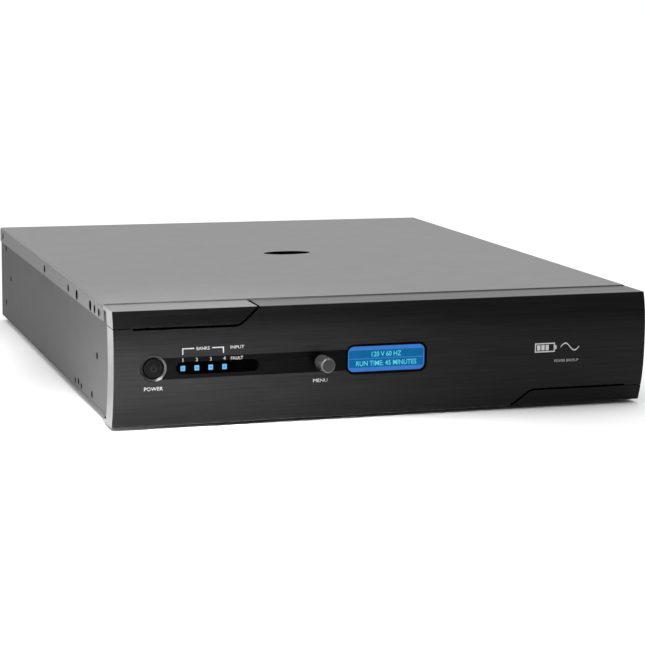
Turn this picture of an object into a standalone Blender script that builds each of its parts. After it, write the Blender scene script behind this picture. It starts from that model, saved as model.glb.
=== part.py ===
"""Rack-mount uninterruptible power supply, two rack units high, as separate pieces.

Positions are given as (x, d, h) in millimetres: x to the right of the middle, d back from the front
panel's top front edge, and h up from the front panel's bottom edge. Shape.finish() turns them into
metres, with the origin on the floor under the middle of the whole unit, +Y to the rear and +Z up.
"""

import math

import bmesh
import bpy
from mathutils import Matrix, Vector

MM = 0.001
GAP = 0.3  # between pieces that touch on the real unit

# Driving dimensions of the whole unit
WIDTH = 431.8
PANEL_HEIGHT = 88.0
DEPTH = 520.0
FRONT_REACH = 21.7  # how far the menu knob stands in front of the panel's edge
REAR_REACH = 3.1  # how far the breaker button stands behind the chassis
FLOOR_DROP = 3.0  # from the panel's bottom edge down to the floor under the feet
HALF = WIDTH / 2
ORIGIN_D = (DEPTH + REAR_REACH - FRONT_REACH) / 2

# Sheet metal
SHEET = 1.2
BEND = 1.8
SIDE_X = HALF - SHEET - GAP  # outer face of the side panels, inside the cover's flanges
TRAY_LOW = 2.0
TRAY_LIP = 4.3
SIDE_LOW = 4.7
COVER_TOP = 88.8
COVER_FLANGE_LOW = 75.7
COVER_FRONT = 33.0
COVER_BACK = DEPTH - 4.0
SIDE_TOP = COVER_TOP - SHEET - 0.4

# Front panel extrusion
CROWN = 5.0  # how far the bowed face stands in front of the top edge
CROWN_HEIGHT = 52.0
BOTTOM_SETBACK = 2.8
FACE_POWER = 2.6
FLANGE = 3.0
FLANGE_BACK = 31.0
POST_BACK = 15.0  # the panel's ends are solid back to here at half height
POST_MIDDLE = 48.0
POCKET_X = 203.0
POCKET_FRONT = 2.5
POCKET_LOW, POCKET_HIGH = 9.0, 82.0

# Trims: an upper-left piece, and the same one turned half a turn at the lower right
TRIM_LOW = 75.5
TRIM_SEAM = 0.5
TRIM_SEAM_X = -201.0
TRIM_GROOVE = 1.7
TRIM_TOP_X = -105.0
TRIM_SLOPE = math.radians(40)
TRIM_RADIUS = 10.0

# How far cutters reach past what they cut
AHEAD = -30.0
BEHIND = 60.0

# Controls on the face
BAND_X = (-185.0, -35.0)
BAND_H = (36.7, 52.8)
BAND_D = -4.1
POWER_X, POWER_H = -185.8, 45.1
POWER_RADIUS = 7.25
POWER_RING = (8.15, 9.8)
POWER_TRAVEL = 1.5
POWER_FRONT = -5.2
SWITCH_FRONT = 7.9
STEM_RADIUS = 2.5
KNOB_X, KNOB_H = -55.6, 44.4
KNOB_RADIUS = 5.75
KNOB_TRAVEL = 0.7
KNOB_BACK = BAND_D - KNOB_TRAVEL - 0.4
SHAFT_RADIUS = 3.0
KNOB_BORE_RADIUS = SHAFT_RADIUS + 0.15
KNOB_BORE_END = 4.0 - FRONT_REACH  # where the knob's bore stops, behind its tip
ROTOR_D = (6.5, 8.7)
ROTOR_RADIUS = 5.0
WINDOW_X = (-168.4, -105.2)
WINDOW_H = (39.8, 48.6)
LAMP_H = 44.2
LAMP_SIZE = (3.5, 3.9)
LAMP_X = (-163.5, -152.9, -142.2, -131.6, -120.6)
LCD_X, LCD_H = -3.1, 44.8
LCD_FRAME = (65.0, 23.0, 6.0)  # width, height and corner radius
LCD_GLASS = (62.7, 20.1, 5.0)
BOARD_D = 15.0
BOARD_THICK = 1.6
CONTROL_BOARD = ((-199.0, -38.0), (27.0, 63.0))  # its reach along x and h
LCD_MODULE = (84.0, 36.0)

# Holes in the left and right sides: (d, h, radius)
COVER_HOLES = ((500, 82.0, 3.2), (274.8, 81.5, 3.4), (168, 80.7, 3.3), (132.5, 80.5, 4.2),
               (79.4, 80.4, 4.2), (63.1, 80.1, 3.3), (46.8, 80.0, 3.2))
SIDE_HOLES = ((490.5, 71.5, 2.7), (464.1, 45.5, 2.7), (493.1, 18.8, 2.7), (61.4, 44.1, 2.9),
              (148.4, 8.4, 2.5), (135.4, 9.8, 2.8), (123.6, 8.4, 2.5), (81.9, 9.8, 2.9))
PLUG = (3.5, 278.5, 21.2, 10.0)  # x, d and the two half axes of the cover's oval plug

# Rear panel layout
REAR_FACE = DEPTH - 0.5
REAR_INSIDE = REAR_FACE - SHEET - GAP
REAR_FOLD = 34.0  # how far forward the rear panel's sides reach
REAR_LIP = 5.8
OUTLET_COLUMNS = (112.0, 22.0)
OUTLET_ROWS = (63.0, 25.0)
OUTLET_PITCH = 39.0  # between the two receptacles of a bank
OUTLET_FACE = (33.0, 28.0)
OUTLET_CORNER = 6.0
FAN_X, FAN_H = -95.0, 45.0
FAN_SIZE = 80.0
FAN_BORE = 37.5
FAN_DEPTH = 25.0
FAN_FRONT = REAR_INSIDE - FAN_DEPTH
FAN_BLADES = 7
GUARD_RINGS = (14.0, 22.0, 30.0, 38.0)
GUARD_WIRE = 1.6
INLET = (184.0, 25.0)  # x and h of each fitting's middle, and its width and height
INLET_SIZE = (30.0, 24.0)
INLET_MOUTH = DEPTH + 2.0
BREAKER_X, BREAKER_H = 184.0, 63.0
BREAKER_COLLAR = 6.0
BREAKER_TRAVEL = 3.0
BREAKER_RADIUS = 3.2
BREAKER_REACH = 3.6  # how far the button stands behind the rear panel
SERIAL_PORT = (-167.0, 68.5)
SERIAL_SIZE = (31.0, 12.5)
DATA_PORT = (-176.0, 53.0)
DATA_SIZE = (14.0, 11.0)
NETWORK_PORT = (-152.0, 53.0)
NETWORK_SIZE = (16.0, 11.2)
LINK = (-163.0, 26.0)
LINK_SIZE = (40.0, 20.0)
GROUND_X, GROUND_H = -195.0, 45.0
REAR_SPLITS = (-137.0, 158.0)  # where the rear panel's three sections meet

# Batteries
BATTERY = (94.0, 151.0, 65.0)
BATTERY_PITCH = 102.0
BATTERY_FRONT = 40.0
BATTERY_LOW = 4.0
LEAD_LENGTH = 50.0
LEAD_RADIUS = 2.2

# Transformer and main board, standing on the tray
TRAY_TOP = TRAY_LOW + SHEET + GAP
TRANSFORMER_X, TRANSFORMER_D = 130.0, 275.0
CORE = (120.0, 100.0, 76.0)
COIL = (82.0, 152.0, 40.0)
LIMB = 36.0  # width of the core's middle limb
MAIN_BOARD = ((-195.0, 40.0), (225.0, 400.0))  # its reach along x and d
MAIN_BOARD_TOP = TRAY_LOW + SHEET + 8.0
SINK_D = (250.0, 350.0)
FIN_STEP = 10.0

# Each piece's finish: colour, roughness and metallic value
FINISHES = {
    "black_aluminium": ((0.03, 0.03, 0.032), 0.4, 0.8),
    "grey_paint": ((0.36, 0.36, 0.36), 0.45, 0.3),
    "black_plastic": ((0.02, 0.02, 0.02), 0.5, 0.0),
    "gloss_plastic": ((0.01, 0.01, 0.012), 0.12, 0.0),
    "plated_steel": ((0.6, 0.6, 0.6), 0.3, 1.0),
    "aluminium": ((0.75, 0.75, 0.75), 0.35, 1.0),
    "board_green": ((0.02, 0.18, 0.07), 0.4, 0.0),
    "battery_case": ((0.08, 0.08, 0.09), 0.6, 0.0),
    "copper": ((0.55, 0.25, 0.12), 0.4, 0.7),
    "brass": ((0.7, 0.55, 0.25), 0.35, 1.0),
    "rubber": ((0.02, 0.02, 0.02), 0.85, 0.0),
    "red_plastic": ((0.5, 0.02, 0.02), 0.4, 0.0),
}


# ---- modelling helpers ----

def place(point):
    """The point (x, d, h) in millimetres as a position in metres."""
    x, d, h = point
    return Vector((x, d - ORIGIN_D, h + FLOOR_DROP)) * MM


def collection(name):
    made = bpy.data.collections.new(name)
    bpy.context.scene.collection.children.link(made)
    return made


def material(node, finish):
    """A material of the node's own, in one of the finishes above."""
    colour, roughness, metallic = FINISHES[finish]
    made = bpy.data.materials.new(f"{node}_{finish}")
    made.use_nodes = True
    shader = made.node_tree.nodes["Principled BSDF"]
    shader.inputs["Base Color"].default_value = (*colour, 1.0)
    shader.inputs["Roughness"].default_value = roughness
    shader.inputs["Metallic"].default_value = metallic
    return made


def rounded(width, height, radius, centre=(0.0, 0.0), steps=5):
    """A rectangle with round corners, as points."""
    points = []
    for quarter in range(4):
        side_x = (1, -1, -1, 1)[quarter]
        side_y = (1, 1, -1, -1)[quarter]
        corner = (centre[0] + side_x * (width / 2 - radius), centre[1] + side_y * (height / 2 - radius))
        for step in range(steps + 1):
            angle = math.pi / 2 * (quarter + step / steps)
            points.append((corner[0] + radius * math.cos(angle), corner[1] + radius * math.sin(angle)))
    return points


def ellipse(centre, half_x, half_y, count=32):
    turn = [2 * math.pi * i / count for i in range(count)]
    return [(centre[0] + half_x * math.cos(a), centre[1] + half_y * math.sin(a)) for a in turn]


def curve_mesh(outline, thickness):
    """A flat outline made solid: a filled 2D curve, extruded both ways about its plane."""
    curve = bpy.data.curves.new("outline", "CURVE")
    curve.dimensions = "2D"
    curve.fill_mode = "BOTH"
    curve.extrude = thickness / 2
    spline = curve.splines.new("POLY")
    spline.points.add(len(outline) - 1)
    for point, (u, v) in zip(spline.points, outline):
        point.co = (u, v, 0.0, 1.0)
    spline.use_cyclic_u = True
    holder = bpy.data.objects.new("outline", curve)
    bpy.context.scene.collection.objects.link(holder)
    evaluated = holder.evaluated_get(bpy.context.evaluated_depsgraph_get())
    mesh = bpy.data.meshes.new_from_object(evaluated)
    bpy.data.objects.remove(holder)
    bpy.data.curves.remove(curve)
    return mesh


# The rotation that turns a body made along Z to lie along each axis, with u and v as the other two
ALONG = {
    "x": Matrix(((0, 0, 1), (1, 0, 0), (0, 1, 0))).to_4x4(),
    "d": Matrix(((1, 0, 0), (0, 0, -1), (0, 1, 0))).to_4x4(),
    "h": Matrix.Identity(4),
}


class Shape:
    """Closed bodies gathered in one mesh, in (x, d, h) millimetres."""

    def __init__(self):
        self.bm = bmesh.new()

    def box(self, low, high):
        centre = (Vector(low) + Vector(high)) / 2
        size = Vector(high) - Vector(low)
        matrix = Matrix.Translation(centre) @ Matrix.Diagonal((*size, 1.0))
        bmesh.ops.create_cube(self.bm, size=1.0, matrix=matrix)
        return self

    def cylinder(self, start, length, radius, axis="d", sides=24):
        """A cylinder from its start point, length long towards the axis's positive end."""
        middle = {"x": (length / 2, 0, 0), "d": (0, length / 2, 0), "h": (0, 0, length / 2)}[axis]
        matrix = Matrix.Translation(Vector(start) + Vector(middle)) @ ALONG[axis]
        bmesh.ops.create_cone(self.bm, cap_ends=True, segments=sides, radius1=radius, radius2=radius,
                              depth=length, matrix=matrix)
        return self

    def add(self, mesh, matrix, weld=0.0):
        """Add a closed mesh, welded and moved into place; the mesh is removed."""
        piece = bmesh.new()
        piece.from_mesh(mesh)
        if weld > 0:
            bmesh.ops.remove_doubles(piece, verts=piece.verts[:], dist=weld)
        bmesh.ops.transform(piece, matrix=matrix, verts=piece.verts[:])
        piece.to_mesh(mesh)
        piece.free()
        self.bm.from_mesh(mesh)
        bpy.data.meshes.remove(mesh)
        return self

    def prism(self, outline, axis, low, high):
        """An outline extruded along an axis: (d, h) points along x, (x, h) along d, (x, d) along h."""
        middle = (low + high) / 2
        shift = {"x": (middle, 0, 0), "d": (0, middle, 0), "h": (0, 0, middle)}[axis]
        return self.add(curve_mesh(outline, high - low), Matrix.Translation(shift) @ ALONG[axis], 0.001)

    def ring(self, start, length, outer, inner, axis="d", sides=32):
        """A plain tube, turned from its cross-section."""
        profile = [(inner, 0.0), (outer, 0.0), (outer, length), (inner, length)]
        return self.turned(profile, start, axis, sides)

    def turned(self, profile, start, axis="d", sides=32):
        """A (radius, distance) profile spun about the axis: closed, or open between points on the axis."""
        mesh = bpy.data.meshes.new("profile")
        flip = -1 if axis == "d" else 1
        verts = [(radius, 0.0, flip * along) for radius, along in profile]
        edges = [(i, i + 1) for i in range(len(verts) - 1)]
        if profile[0][0] > 0:
            edges.append((len(verts) - 1, 0))
        mesh.from_pydata(verts, edges, [])
        holder = bpy.data.objects.new("profile", mesh)
        bpy.context.scene.collection.objects.link(holder)
        screw = holder.modifiers.new("turn", "SCREW")
        screw.steps = screw.render_steps = sides
        screw.use_merge_vertices = True
        screw.merge_threshold = 0.0001
        evaluated = holder.evaluated_get(bpy.context.evaluated_depsgraph_get())
        turned = bpy.data.meshes.new_from_object(evaluated)
        bpy.data.objects.remove(holder)
        return self.add(turned, Matrix.Translation(Vector(start)) @ ALONG[axis])

    def mirrored(self):
        """The same bodies on the other side of the middle plane."""
        bmesh.ops.scale(self.bm, vec=(-1, 1, 1), verts=self.bm.verts[:])
        return self

    def finish(self, name, finish=None, origin=None):
        """A Blender object from the bodies, with its origin at the given point or in its middle.

        Without a finish it is a cutter."""
        bmesh.ops.recalc_face_normals(self.bm, faces=self.bm.faces[:])
        points = [v.co for v in self.bm.verts]
        if origin is None:
            low = Vector([min(p[i] for p in points) for i in range(3)])
            high = Vector([max(p[i] for p in points) for i in range(3)])
            origin = (low + high) / 2
        bmesh.ops.translate(self.bm, vec=-Vector(origin), verts=self.bm.verts[:])
        bmesh.ops.scale(self.bm, vec=(MM, MM, MM), verts=self.bm.verts[:])
        mesh = bpy.data.meshes.new(name)
        self.bm.to_mesh(mesh)
        self.bm.free()
        made = bpy.data.objects.new(name, mesh)
        made.location = place(origin)
        if finish is None:
            CUTTERS.objects.link(made)
            made.hide_render = True
            made.display_type = "WIRE"
        else:
            UNIT.objects.link(made)
            mesh.materials.append(material(name, finish))
        return made


def combine(target, operation, shape):
    """Add a Boolean of another shape to a piece."""
    tool = shape.finish(f"{target.name}_{operation.lower()}_{len(target.modifiers)}")
    modifier = target.modifiers.new(tool.name, "BOOLEAN")
    modifier.operation = operation
    modifier.solver = "EXACT"
    modifier.object = tool
    return target


def cut(target, shape):
    return combine(target, "DIFFERENCE", shape)


def join(target, shape):
    return combine(target, "UNION", shape)


# ---- front panel ----

def face_depth(h):
    """Depth of the bowed face at a height; the crown is the furthest forward."""
    if h > CROWN_HEIGHT:
        edge, span = 0.0, PANEL_HEIGHT - CROWN_HEIGHT
    else:
        edge, span = BOTTOM_SETBACK, CROWN_HEIGHT
    return -CROWN + (edge + CROWN) * (abs(h - CROWN_HEIGHT) / span) ** FACE_POWER


def post_depth(h):
    """Depth of the solid ends' rear face, which spreads into the two flanges."""
    return POST_BACK + 8.0 * ((h - POST_MIDDLE) / 46.0) ** 2


def extrusion_outline():
    face_heights = [PANEL_HEIGHT * i / 24 for i in range(25)]
    face = [(face_depth(h), h) for h in face_heights]
    edge = 0.6
    face[0] = (face_depth(0) + edge, 0.0)
    face.insert(1, (face_depth(edge), edge))
    face[-1] = (face_depth(PANEL_HEIGHT - edge / 2), PANEL_HEIGHT - edge / 2)
    face.append((face_depth(PANEL_HEIGHT) + edge / 2, PANEL_HEIGHT))
    low, high = FLANGE, PANEL_HEIGHT - FLANGE
    post = [(post_depth(low + (high - low) * i / 12), low + (high - low) * i / 12)
            for i in range(12, -1, -1)]
    return face + [(FLANGE_BACK, PANEL_HEIGHT), (FLANGE_BACK, high)] + post \
        + [(FLANGE_BACK, low), (FLANGE_BACK, 0.0)]


def trim_outline(seam, groove):
    """The trim's (x, h) outline; seam and groove widen it to cut the panel around it."""
    low = TRIM_LOW - groove
    radius = TRIM_RADIUS + groove
    top_x = TRIM_TOP_X + groove / math.sin(TRIM_SLOPE)
    over = PANEL_HEIGHT + 3.0
    over_x = top_x + 3.0 / math.tan(TRIM_SLOPE)
    corner_x = top_x - (PANEL_HEIGHT - low) / math.tan(TRIM_SLOPE)
    arc_x = corner_x - radius * math.tan(TRIM_SLOPE / 2)
    arc = [(arc_x + radius * math.sin(TRIM_SLOPE * i / 6), low + radius * (1 - math.cos(TRIM_SLOPE * i / 6)))
           for i in range(7)]
    start = [(-HALF - 3.0, over), (-HALF - 3.0, TRIM_LOW - seam)]
    if groove > 0:
        start += [(TRIM_SEAM_X, TRIM_LOW - seam), (TRIM_SEAM_X, low)]
    return start + arc + [(over_x, over)]


def turned_half(outline):
    return [(-x, PANEL_HEIGHT - h) for x, h in outline]


def stadium(low_x, high_x, low_h, high_h, grow=0.0):
    width, height = high_x - low_x + 2 * grow, high_h - low_h + 2 * grow
    return rounded(width, height, height / 2 - 0.01, ((low_x + high_x) / 2, (low_h + high_h) / 2), 8)


def build_front_panel():
    def blank(name):
        return Shape().prism(extrusion_outline(), "x", -HALF, HALF).finish(name, "black_aluminium")

    pocket = ((-POCKET_X, POCKET_FRONT, POCKET_LOW), (POCKET_X, BEHIND, POCKET_HIGH))
    panel = cut(blank("front_panel"), Shape().box(*pocket))
    groove = trim_outline(TRIM_SEAM, TRIM_GROOVE)
    cut(panel, Shape().prism(groove, "d", AHEAD, BEHIND))
    cut(panel, Shape().prism(turned_half(groove), "d", AHEAD, BEHIND))
    cut(panel, Shape().box((BAND_X[0], AHEAD, BAND_H[0]), (BAND_X[1], BAND_D, BAND_H[1])))
    holes = Shape()
    holes.cylinder((POWER_X, AHEAD, POWER_H), BEHIND - AHEAD, POWER_RING[1] + GAP, sides=40)
    holes.cylinder((KNOB_X, AHEAD, KNOB_H), BEHIND - AHEAD, SHAFT_RADIUS + 1.0)
    holes.prism(stadium(*WINDOW_X, *WINDOW_H, grow=GAP), "d", AHEAD, BEHIND)
    frame = (LCD_FRAME[0] + 2 * GAP, LCD_FRAME[1] + 2 * GAP, LCD_FRAME[2] + GAP)
    holes.prism(rounded(*frame, (LCD_X, LCD_H)), "d", AHEAD, BEHIND)
    cut(panel, holes)

    for name, outline in (("upper_left_trim", trim_outline(0, 0)),
                          ("lower_right_trim", turned_half(trim_outline(0, 0)))):
        trim = cut(blank(name), Shape().box(*pocket))
        combine(trim, "INTERSECT", Shape().prism(outline, "d", AHEAD, BEHIND))


# ---- controls behind the face ----

def build_controls():
    front = BAND_D - 0.1
    window = Shape().prism(stadium(*WINDOW_X, *WINDOW_H), "d", front, 1.5)
    window = window.finish("control_window", "gloss_plastic")
    half_w, half_h = LAMP_SIZE[0] / 2, LAMP_SIZE[1] / 2
    (board_left, board_right), (board_low, board_high) = CONTROL_BOARD
    board = Shape().box((board_left, BOARD_D, board_low), (board_right, BOARD_D + BOARD_THICK, board_high))
    board = board.finish("control_board", "board_green")
    slots, pipes = Shape(), Shape()
    for x in LAMP_X:
        slots.box((x - half_w - GAP, AHEAD, LAMP_H - half_h - GAP),
                  (x + half_w + GAP, BEHIND, LAMP_H + half_h + GAP))
        pipes.box((x - half_w, front, LAMP_H - half_h), (x + half_w, BOARD_D + 0.5, LAMP_H + half_h))
    cut(window, slots)
    join(board, pipes)

    inner, outer = POWER_RING
    flange = outer + 2.5
    dish = [(inner, -3.9), (outer, -4.9), (outer, 2.8), (flange, 2.8), (flange, 4.5), (inner, 4.5)]
    Shape().turned(dish, (POWER_X, 0, POWER_H), sides=40).finish("power_button_bezel", "black_plastic")
    stem_end = SWITCH_FRONT - POWER_TRAVEL - 0.4
    cap = [(0, POWER_FRONT), (POWER_RADIUS - 0.9, POWER_FRONT), (POWER_RADIUS, POWER_FRONT + 0.7),
           (POWER_RADIUS, 2.0), (STEM_RADIUS, 2.0), (STEM_RADIUS, stem_end), (0, stem_end)]
    Shape().turned(cap, (POWER_X, 0, POWER_H), sides=40).finish(
        "power_button_cap", "black_plastic", (POWER_X, POWER_FRONT, POWER_H))
    switch = Shape().box((POWER_X - 6, SWITCH_FRONT, POWER_H - 6), (POWER_X + 6, BOARD_D - GAP, POWER_H + 6))
    switch.finish("power_switch", "gloss_plastic")


def build_menu_encoder():
    """A knob on a shaft that turns a rotor and slides through it when pressed."""
    axis = (KNOB_X, 0, KNOB_H)
    body = Shape().box((KNOB_X - 6, 3.2, KNOB_H - 6.5), (KNOB_X + 6, BOARD_D - GAP, KNOB_H + 6.5))
    body = body.finish("encoder_body", "plated_steel")
    cut(body, Shape().cylinder((KNOB_X, 0.0, KNOB_H), 12.5, KNOB_BORE_RADIUS))
    rotor_low, rotor_high = ROTOR_D
    cut(body, Shape().cylinder((KNOB_X, rotor_low - 0.5, KNOB_H), rotor_high - rotor_low + 1.0,
                               ROTOR_RADIUS + 0.4))
    Shape().ring((KNOB_X, rotor_low, KNOB_H), rotor_high - rotor_low, ROTOR_RADIUS, SHAFT_RADIUS + 0.12,
                 sides=24).finish("encoder_rotor", "gloss_plastic", axis)
    tip = -FRONT_REACH
    knob = [(0, tip), (KNOB_RADIUS - 1.1, tip), (KNOB_RADIUS - 0.3, tip + 0.5), (KNOB_RADIUS, tip + 1.3),
            (KNOB_RADIUS, KNOB_BACK - 0.4), (KNOB_RADIUS - 0.4, KNOB_BACK), (KNOB_BORE_RADIUS, KNOB_BACK),
            (KNOB_BORE_RADIUS, KNOB_BORE_END), (0, KNOB_BORE_END)]
    Shape().turned(knob, axis, sides=40).finish("menu_knob", "black_aluminium", axis)
    shaft_end = 11.2
    shaft = [(0, KNOB_BORE_END + GAP), (SHAFT_RADIUS - 0.5, KNOB_BORE_END + GAP),
             (SHAFT_RADIUS, KNOB_BORE_END + GAP + 0.5), (SHAFT_RADIUS, shaft_end), (0, shaft_end)]
    Shape().turned(shaft, axis, sides=24).finish("encoder_shaft", "plated_steel", axis)


def build_lcd():
    centre = (LCD_X, LCD_H)
    bezel = Shape().prism(rounded(*LCD_FRAME, centre), "d", -4.8, 1.5).finish("lcd_bezel", "gloss_plastic")
    cut(bezel, Shape().prism(rounded(*LCD_GLASS, centre), "d", AHEAD, BEHIND))
    glass = (LCD_GLASS[0] - 2 * GAP, LCD_GLASS[1] - 2 * GAP, LCD_GLASS[2] - GAP)
    half_w, half_h = LCD_MODULE[0] / 2, LCD_MODULE[1] / 2
    module = Shape().box((LCD_X - half_w, 2.9, LCD_H - half_h), (LCD_X + half_w, 12, LCD_H + half_h))
    module = module.finish("lcd_module", "board_green")
    join(module, Shape().prism(rounded(*glass, centre), "d", -3.9, 4))


# ---- chassis ----

def side_outline():
    """The side panel's (d, h) outline: a tongue follows the extrusion's end, between its flanges."""
    low, high = FLANGE + 0.6, PANEL_HEIGHT - FLANGE - 0.5
    tongue = [(post_depth(low + (high - low) * i / 8) + 0.5, low + (high - low) * i / 8) for i in range(9)]
    back = REAR_FACE - 6.2
    front = FLANGE_BACK + 1.0
    return tongue + [(front, high), (front, SIDE_TOP), (back, SIDE_TOP), (back, SIDE_LOW),
                     (front, SIDE_LOW), (front, low)]


def build_side_panel(name, right):
    def shape(made):
        return made.mirrored() if right else made

    panel = shape(Shape().prism(side_outline(), "x", -SIDE_X, -SIDE_X + SHEET)).finish(name, "grey_paint")
    inner = -SIDE_X + SHEET
    fold = Shape().box((inner - 0.5, 36, SIDE_TOP - SHEET), (inner + 11, REAR_FACE - 8, SIDE_TOP))
    join(panel, shape(fold))
    holes = Shape()
    for d, h, radius in SIDE_HOLES + COVER_HOLES:
        holes.cylinder((-SIDE_X - 5, d, h), 5 + SHEET + 1, radius, axis="x", sides=20)
    cut(panel, shape(holes))


def bent_channel(half, low, high, bend, sheet):
    """A (x, h) outline of a sheet folded down on both sides, with round outer bends."""
    outer = []
    for i in range(5):
        angle = math.pi / 2 * i / 4
        outer.append((half - bend + bend * math.cos(angle), high - bend + bend * math.sin(angle)))
    right = [(half, low)] + outer
    left = [(-x, h) for x, h in reversed(right)]
    inside = [(-half + sheet, low), (-half + sheet, high - sheet), (half - sheet, high - sheet),
              (half - sheet, low)]
    return right + left + inside


def build_cover():
    outline = bent_channel(HALF, COVER_FLANGE_LOW, COVER_TOP, BEND, SHEET)
    cover = Shape().prism(outline, "d", COVER_FRONT, COVER_BACK).finish("top_cover", "grey_paint")
    holes = Shape()
    for side in (-1, 1):
        for d, h, radius in COVER_HOLES:
            holes.cylinder((side * HALF - 3, d, h), 6, radius, axis="x", sides=20)
    x, d, half_x, half_d = PLUG
    holes.prism(ellipse((x, d), half_x + GAP, half_d + GAP), "h", COVER_TOP - 5, COVER_TOP + 5)
    cut(cover, holes)
    plug = Shape().prism(ellipse((x, d), half_x, half_d), "h", COVER_TOP - 1.6, COVER_TOP + 0.15)
    plug.finish("cover_plug", "black_plastic")


def build_tray():
    outline = [(x, TRAY_LOW + TRAY_LIP - h) for x, h in
               bent_channel(SIDE_X, TRAY_LOW, TRAY_LIP, 1.0, SHEET)]
    Shape().prism(outline, "d", FLANGE_BACK + 1.4, REAR_FACE - 0.2).finish("bottom_tray", "grey_paint")


def build_sub_panel():
    low, high = FLANGE + 0.7, PANEL_HEIGHT - FLANGE - 0.6
    front = 24.2
    outline = [(front, low), (front, high), (front + 12, high), (front + 12, high - SHEET),
               (front + SHEET, high - SHEET), (front + SHEET, low + SHEET), (front + 6.5, low + SHEET),
               (front + 6.5, low)]
    inside = SIDE_X - SHEET - GAP
    panel = Shape().prism(outline, "x", -inside, inside).finish("sub_panel", "plated_steel")
    slots = Shape()
    for x in (-100, 100):
        slots.box((x - 20, front - 3, 8), (x + 20, front + 3, 20))
    cut(panel, slots)


def rear_cut_outs():
    """The holes for the rear fittings, as bodies that run through the rear panel."""
    front, behind = REAR_FACE - 5, REAR_FACE + 5
    length = behind - front
    holes = Shape()
    face = (OUTLET_FACE[0] + 2 * GAP, OUTLET_FACE[1] + 2 * GAP, OUTLET_CORNER + GAP)
    for x in OUTLET_COLUMNS:
        for h in OUTLET_ROWS:
            for side in (-1, 1):
                holes.prism(rounded(*face, (x + side * OUTLET_PITCH / 2, h), 4), "d", front, behind)
    for centre, size, radius in ((INLET, INLET_SIZE, 3.0), (SERIAL_PORT, SERIAL_SIZE, 2.0),
                                 (DATA_PORT, DATA_SIZE, 0.3), (NETWORK_PORT, NETWORK_SIZE, 0.3),
                                 (LINK, LINK_SIZE, 0.3)):
        hole = rounded(size[0] + 2 * GAP, size[1] + 2 * GAP, radius + GAP, centre, 3)
        holes.prism(hole, "d", front, behind)
    holes.cylinder((FAN_X, front, FAN_H), length, FAN_BORE, sides=40)
    holes.cylinder((BREAKER_X, front, BREAKER_H), length, BREAKER_COLLAR + GAP)
    holes.cylinder((GROUND_X, front, GROUND_H), length, 2.3, sides=16)
    return holes


def build_rear_panel():
    """A plate with its sides folded forward: an outer lip, then a step in behind the side panels.

    It is three sections side by side, one for each group of fittings."""
    inner = SIDE_X - SHEET - GAP
    back, lip, fold = REAR_FACE, REAR_FACE - REAR_LIP, REAR_FACE - REAR_FOLD
    right = [(inner - SHEET, back - SHEET), (inner - SHEET, fold), (inner, fold), (inner, lip),
             (SIDE_X, lip), (SIDE_X, back)]
    outline = right + [(-x, d) for x, d in reversed(right)]
    low, high = TRAY_LIP + 0.6, COVER_TOP - SHEET - 0.4
    above = high + 5
    edges = (-HALF, *REAR_SPLITS, HALF)
    names = ("rear_panel_ports", "rear_panel_outlets", "rear_panel_inlet")
    for name, start, end in zip(names, edges, edges[1:]):
        panel = Shape().prism(outline, "h", low, high).finish(name, "grey_paint")
        section = Shape().box((start + GAP / 2, fold - 5, low - 5), (end - GAP / 2, back + 5, above))
        combine(panel, "INTERSECT", section)
        cut(panel, rear_cut_outs())
        if name != "rear_panel_outlets":
            under = SIDE_TOP - SHEET - 0.4  # below the side panel's fold
            cut(panel, Shape().box((-inner - 5, fold - 5, under), (inner + 5, lip - GAP, above)))


def build_feet():
    for side, across in (("left", -1), ("right", 1)):
        for end, d in (("front", 80.0), ("rear", 470.0)):
            base = [(0, 0.0), (8.6, 0.0), (9.4, 0.8), (9.4, FLOOR_DROP + TRAY_LOW - GAP),
                    (0, FLOOR_DROP + TRAY_LOW - GAP)]
            foot = Shape().turned(base, (across * 175.0, d, -FLOOR_DROP), "h", 28)
            foot.finish(f"foot_{end}_{side}", "rubber")


# ---- power parts inside ----

def build_batteries():
    """Four sealed batteries on the tray, under one bracket; each has a lid joint and two tabs."""
    width, length, height = BATTERY
    front, back = BATTERY_FRONT, BATTERY_FRONT + length
    top = BATTERY_LOW + height
    for number in range(4):
        x = (number - 1.5) * BATTERY_PITCH - 2.0
        right = x + width / 2
        battery = Shape().box((x - width / 2, front, BATTERY_LOW), (right, back, top))
        battery = battery.finish(f"battery_{number + 1}", "battery_case")
        extras = Shape().box((right - 9, front - 0.8, BATTERY_LOW - 0.3), (right - 7, back + 0.8, top + 0.8))
        for d in (front + 12, back - 12):
            extras.box((right - 4, d - 3.2, top - 14), (right + 6, d + 3.2, top - 13.2))
        join(battery, extras)
    left, over = -2 * BATTERY_PITCH - 2.0, top + 1.2
    near, far = front + 60, front + 90
    bracket = Shape().box((left, near, over), (-left - 4, far, over + 1.5))
    bracket = bracket.finish("battery_bracket", "plated_steel")
    join(bracket, Shape().box((left, near, TRAY_TOP), (left + SHEET, far, over + 0.5)))
    for name, x, colour in (("battery_lead_positive", -150.0, "red_plastic"),
                            ("battery_lead_negative", -140.0, "black_plastic")):
        Shape().cylinder((x, back + 4, top - 3.0), LEAD_LENGTH, LEAD_RADIUS, sides=12).finish(name, colour)


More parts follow.
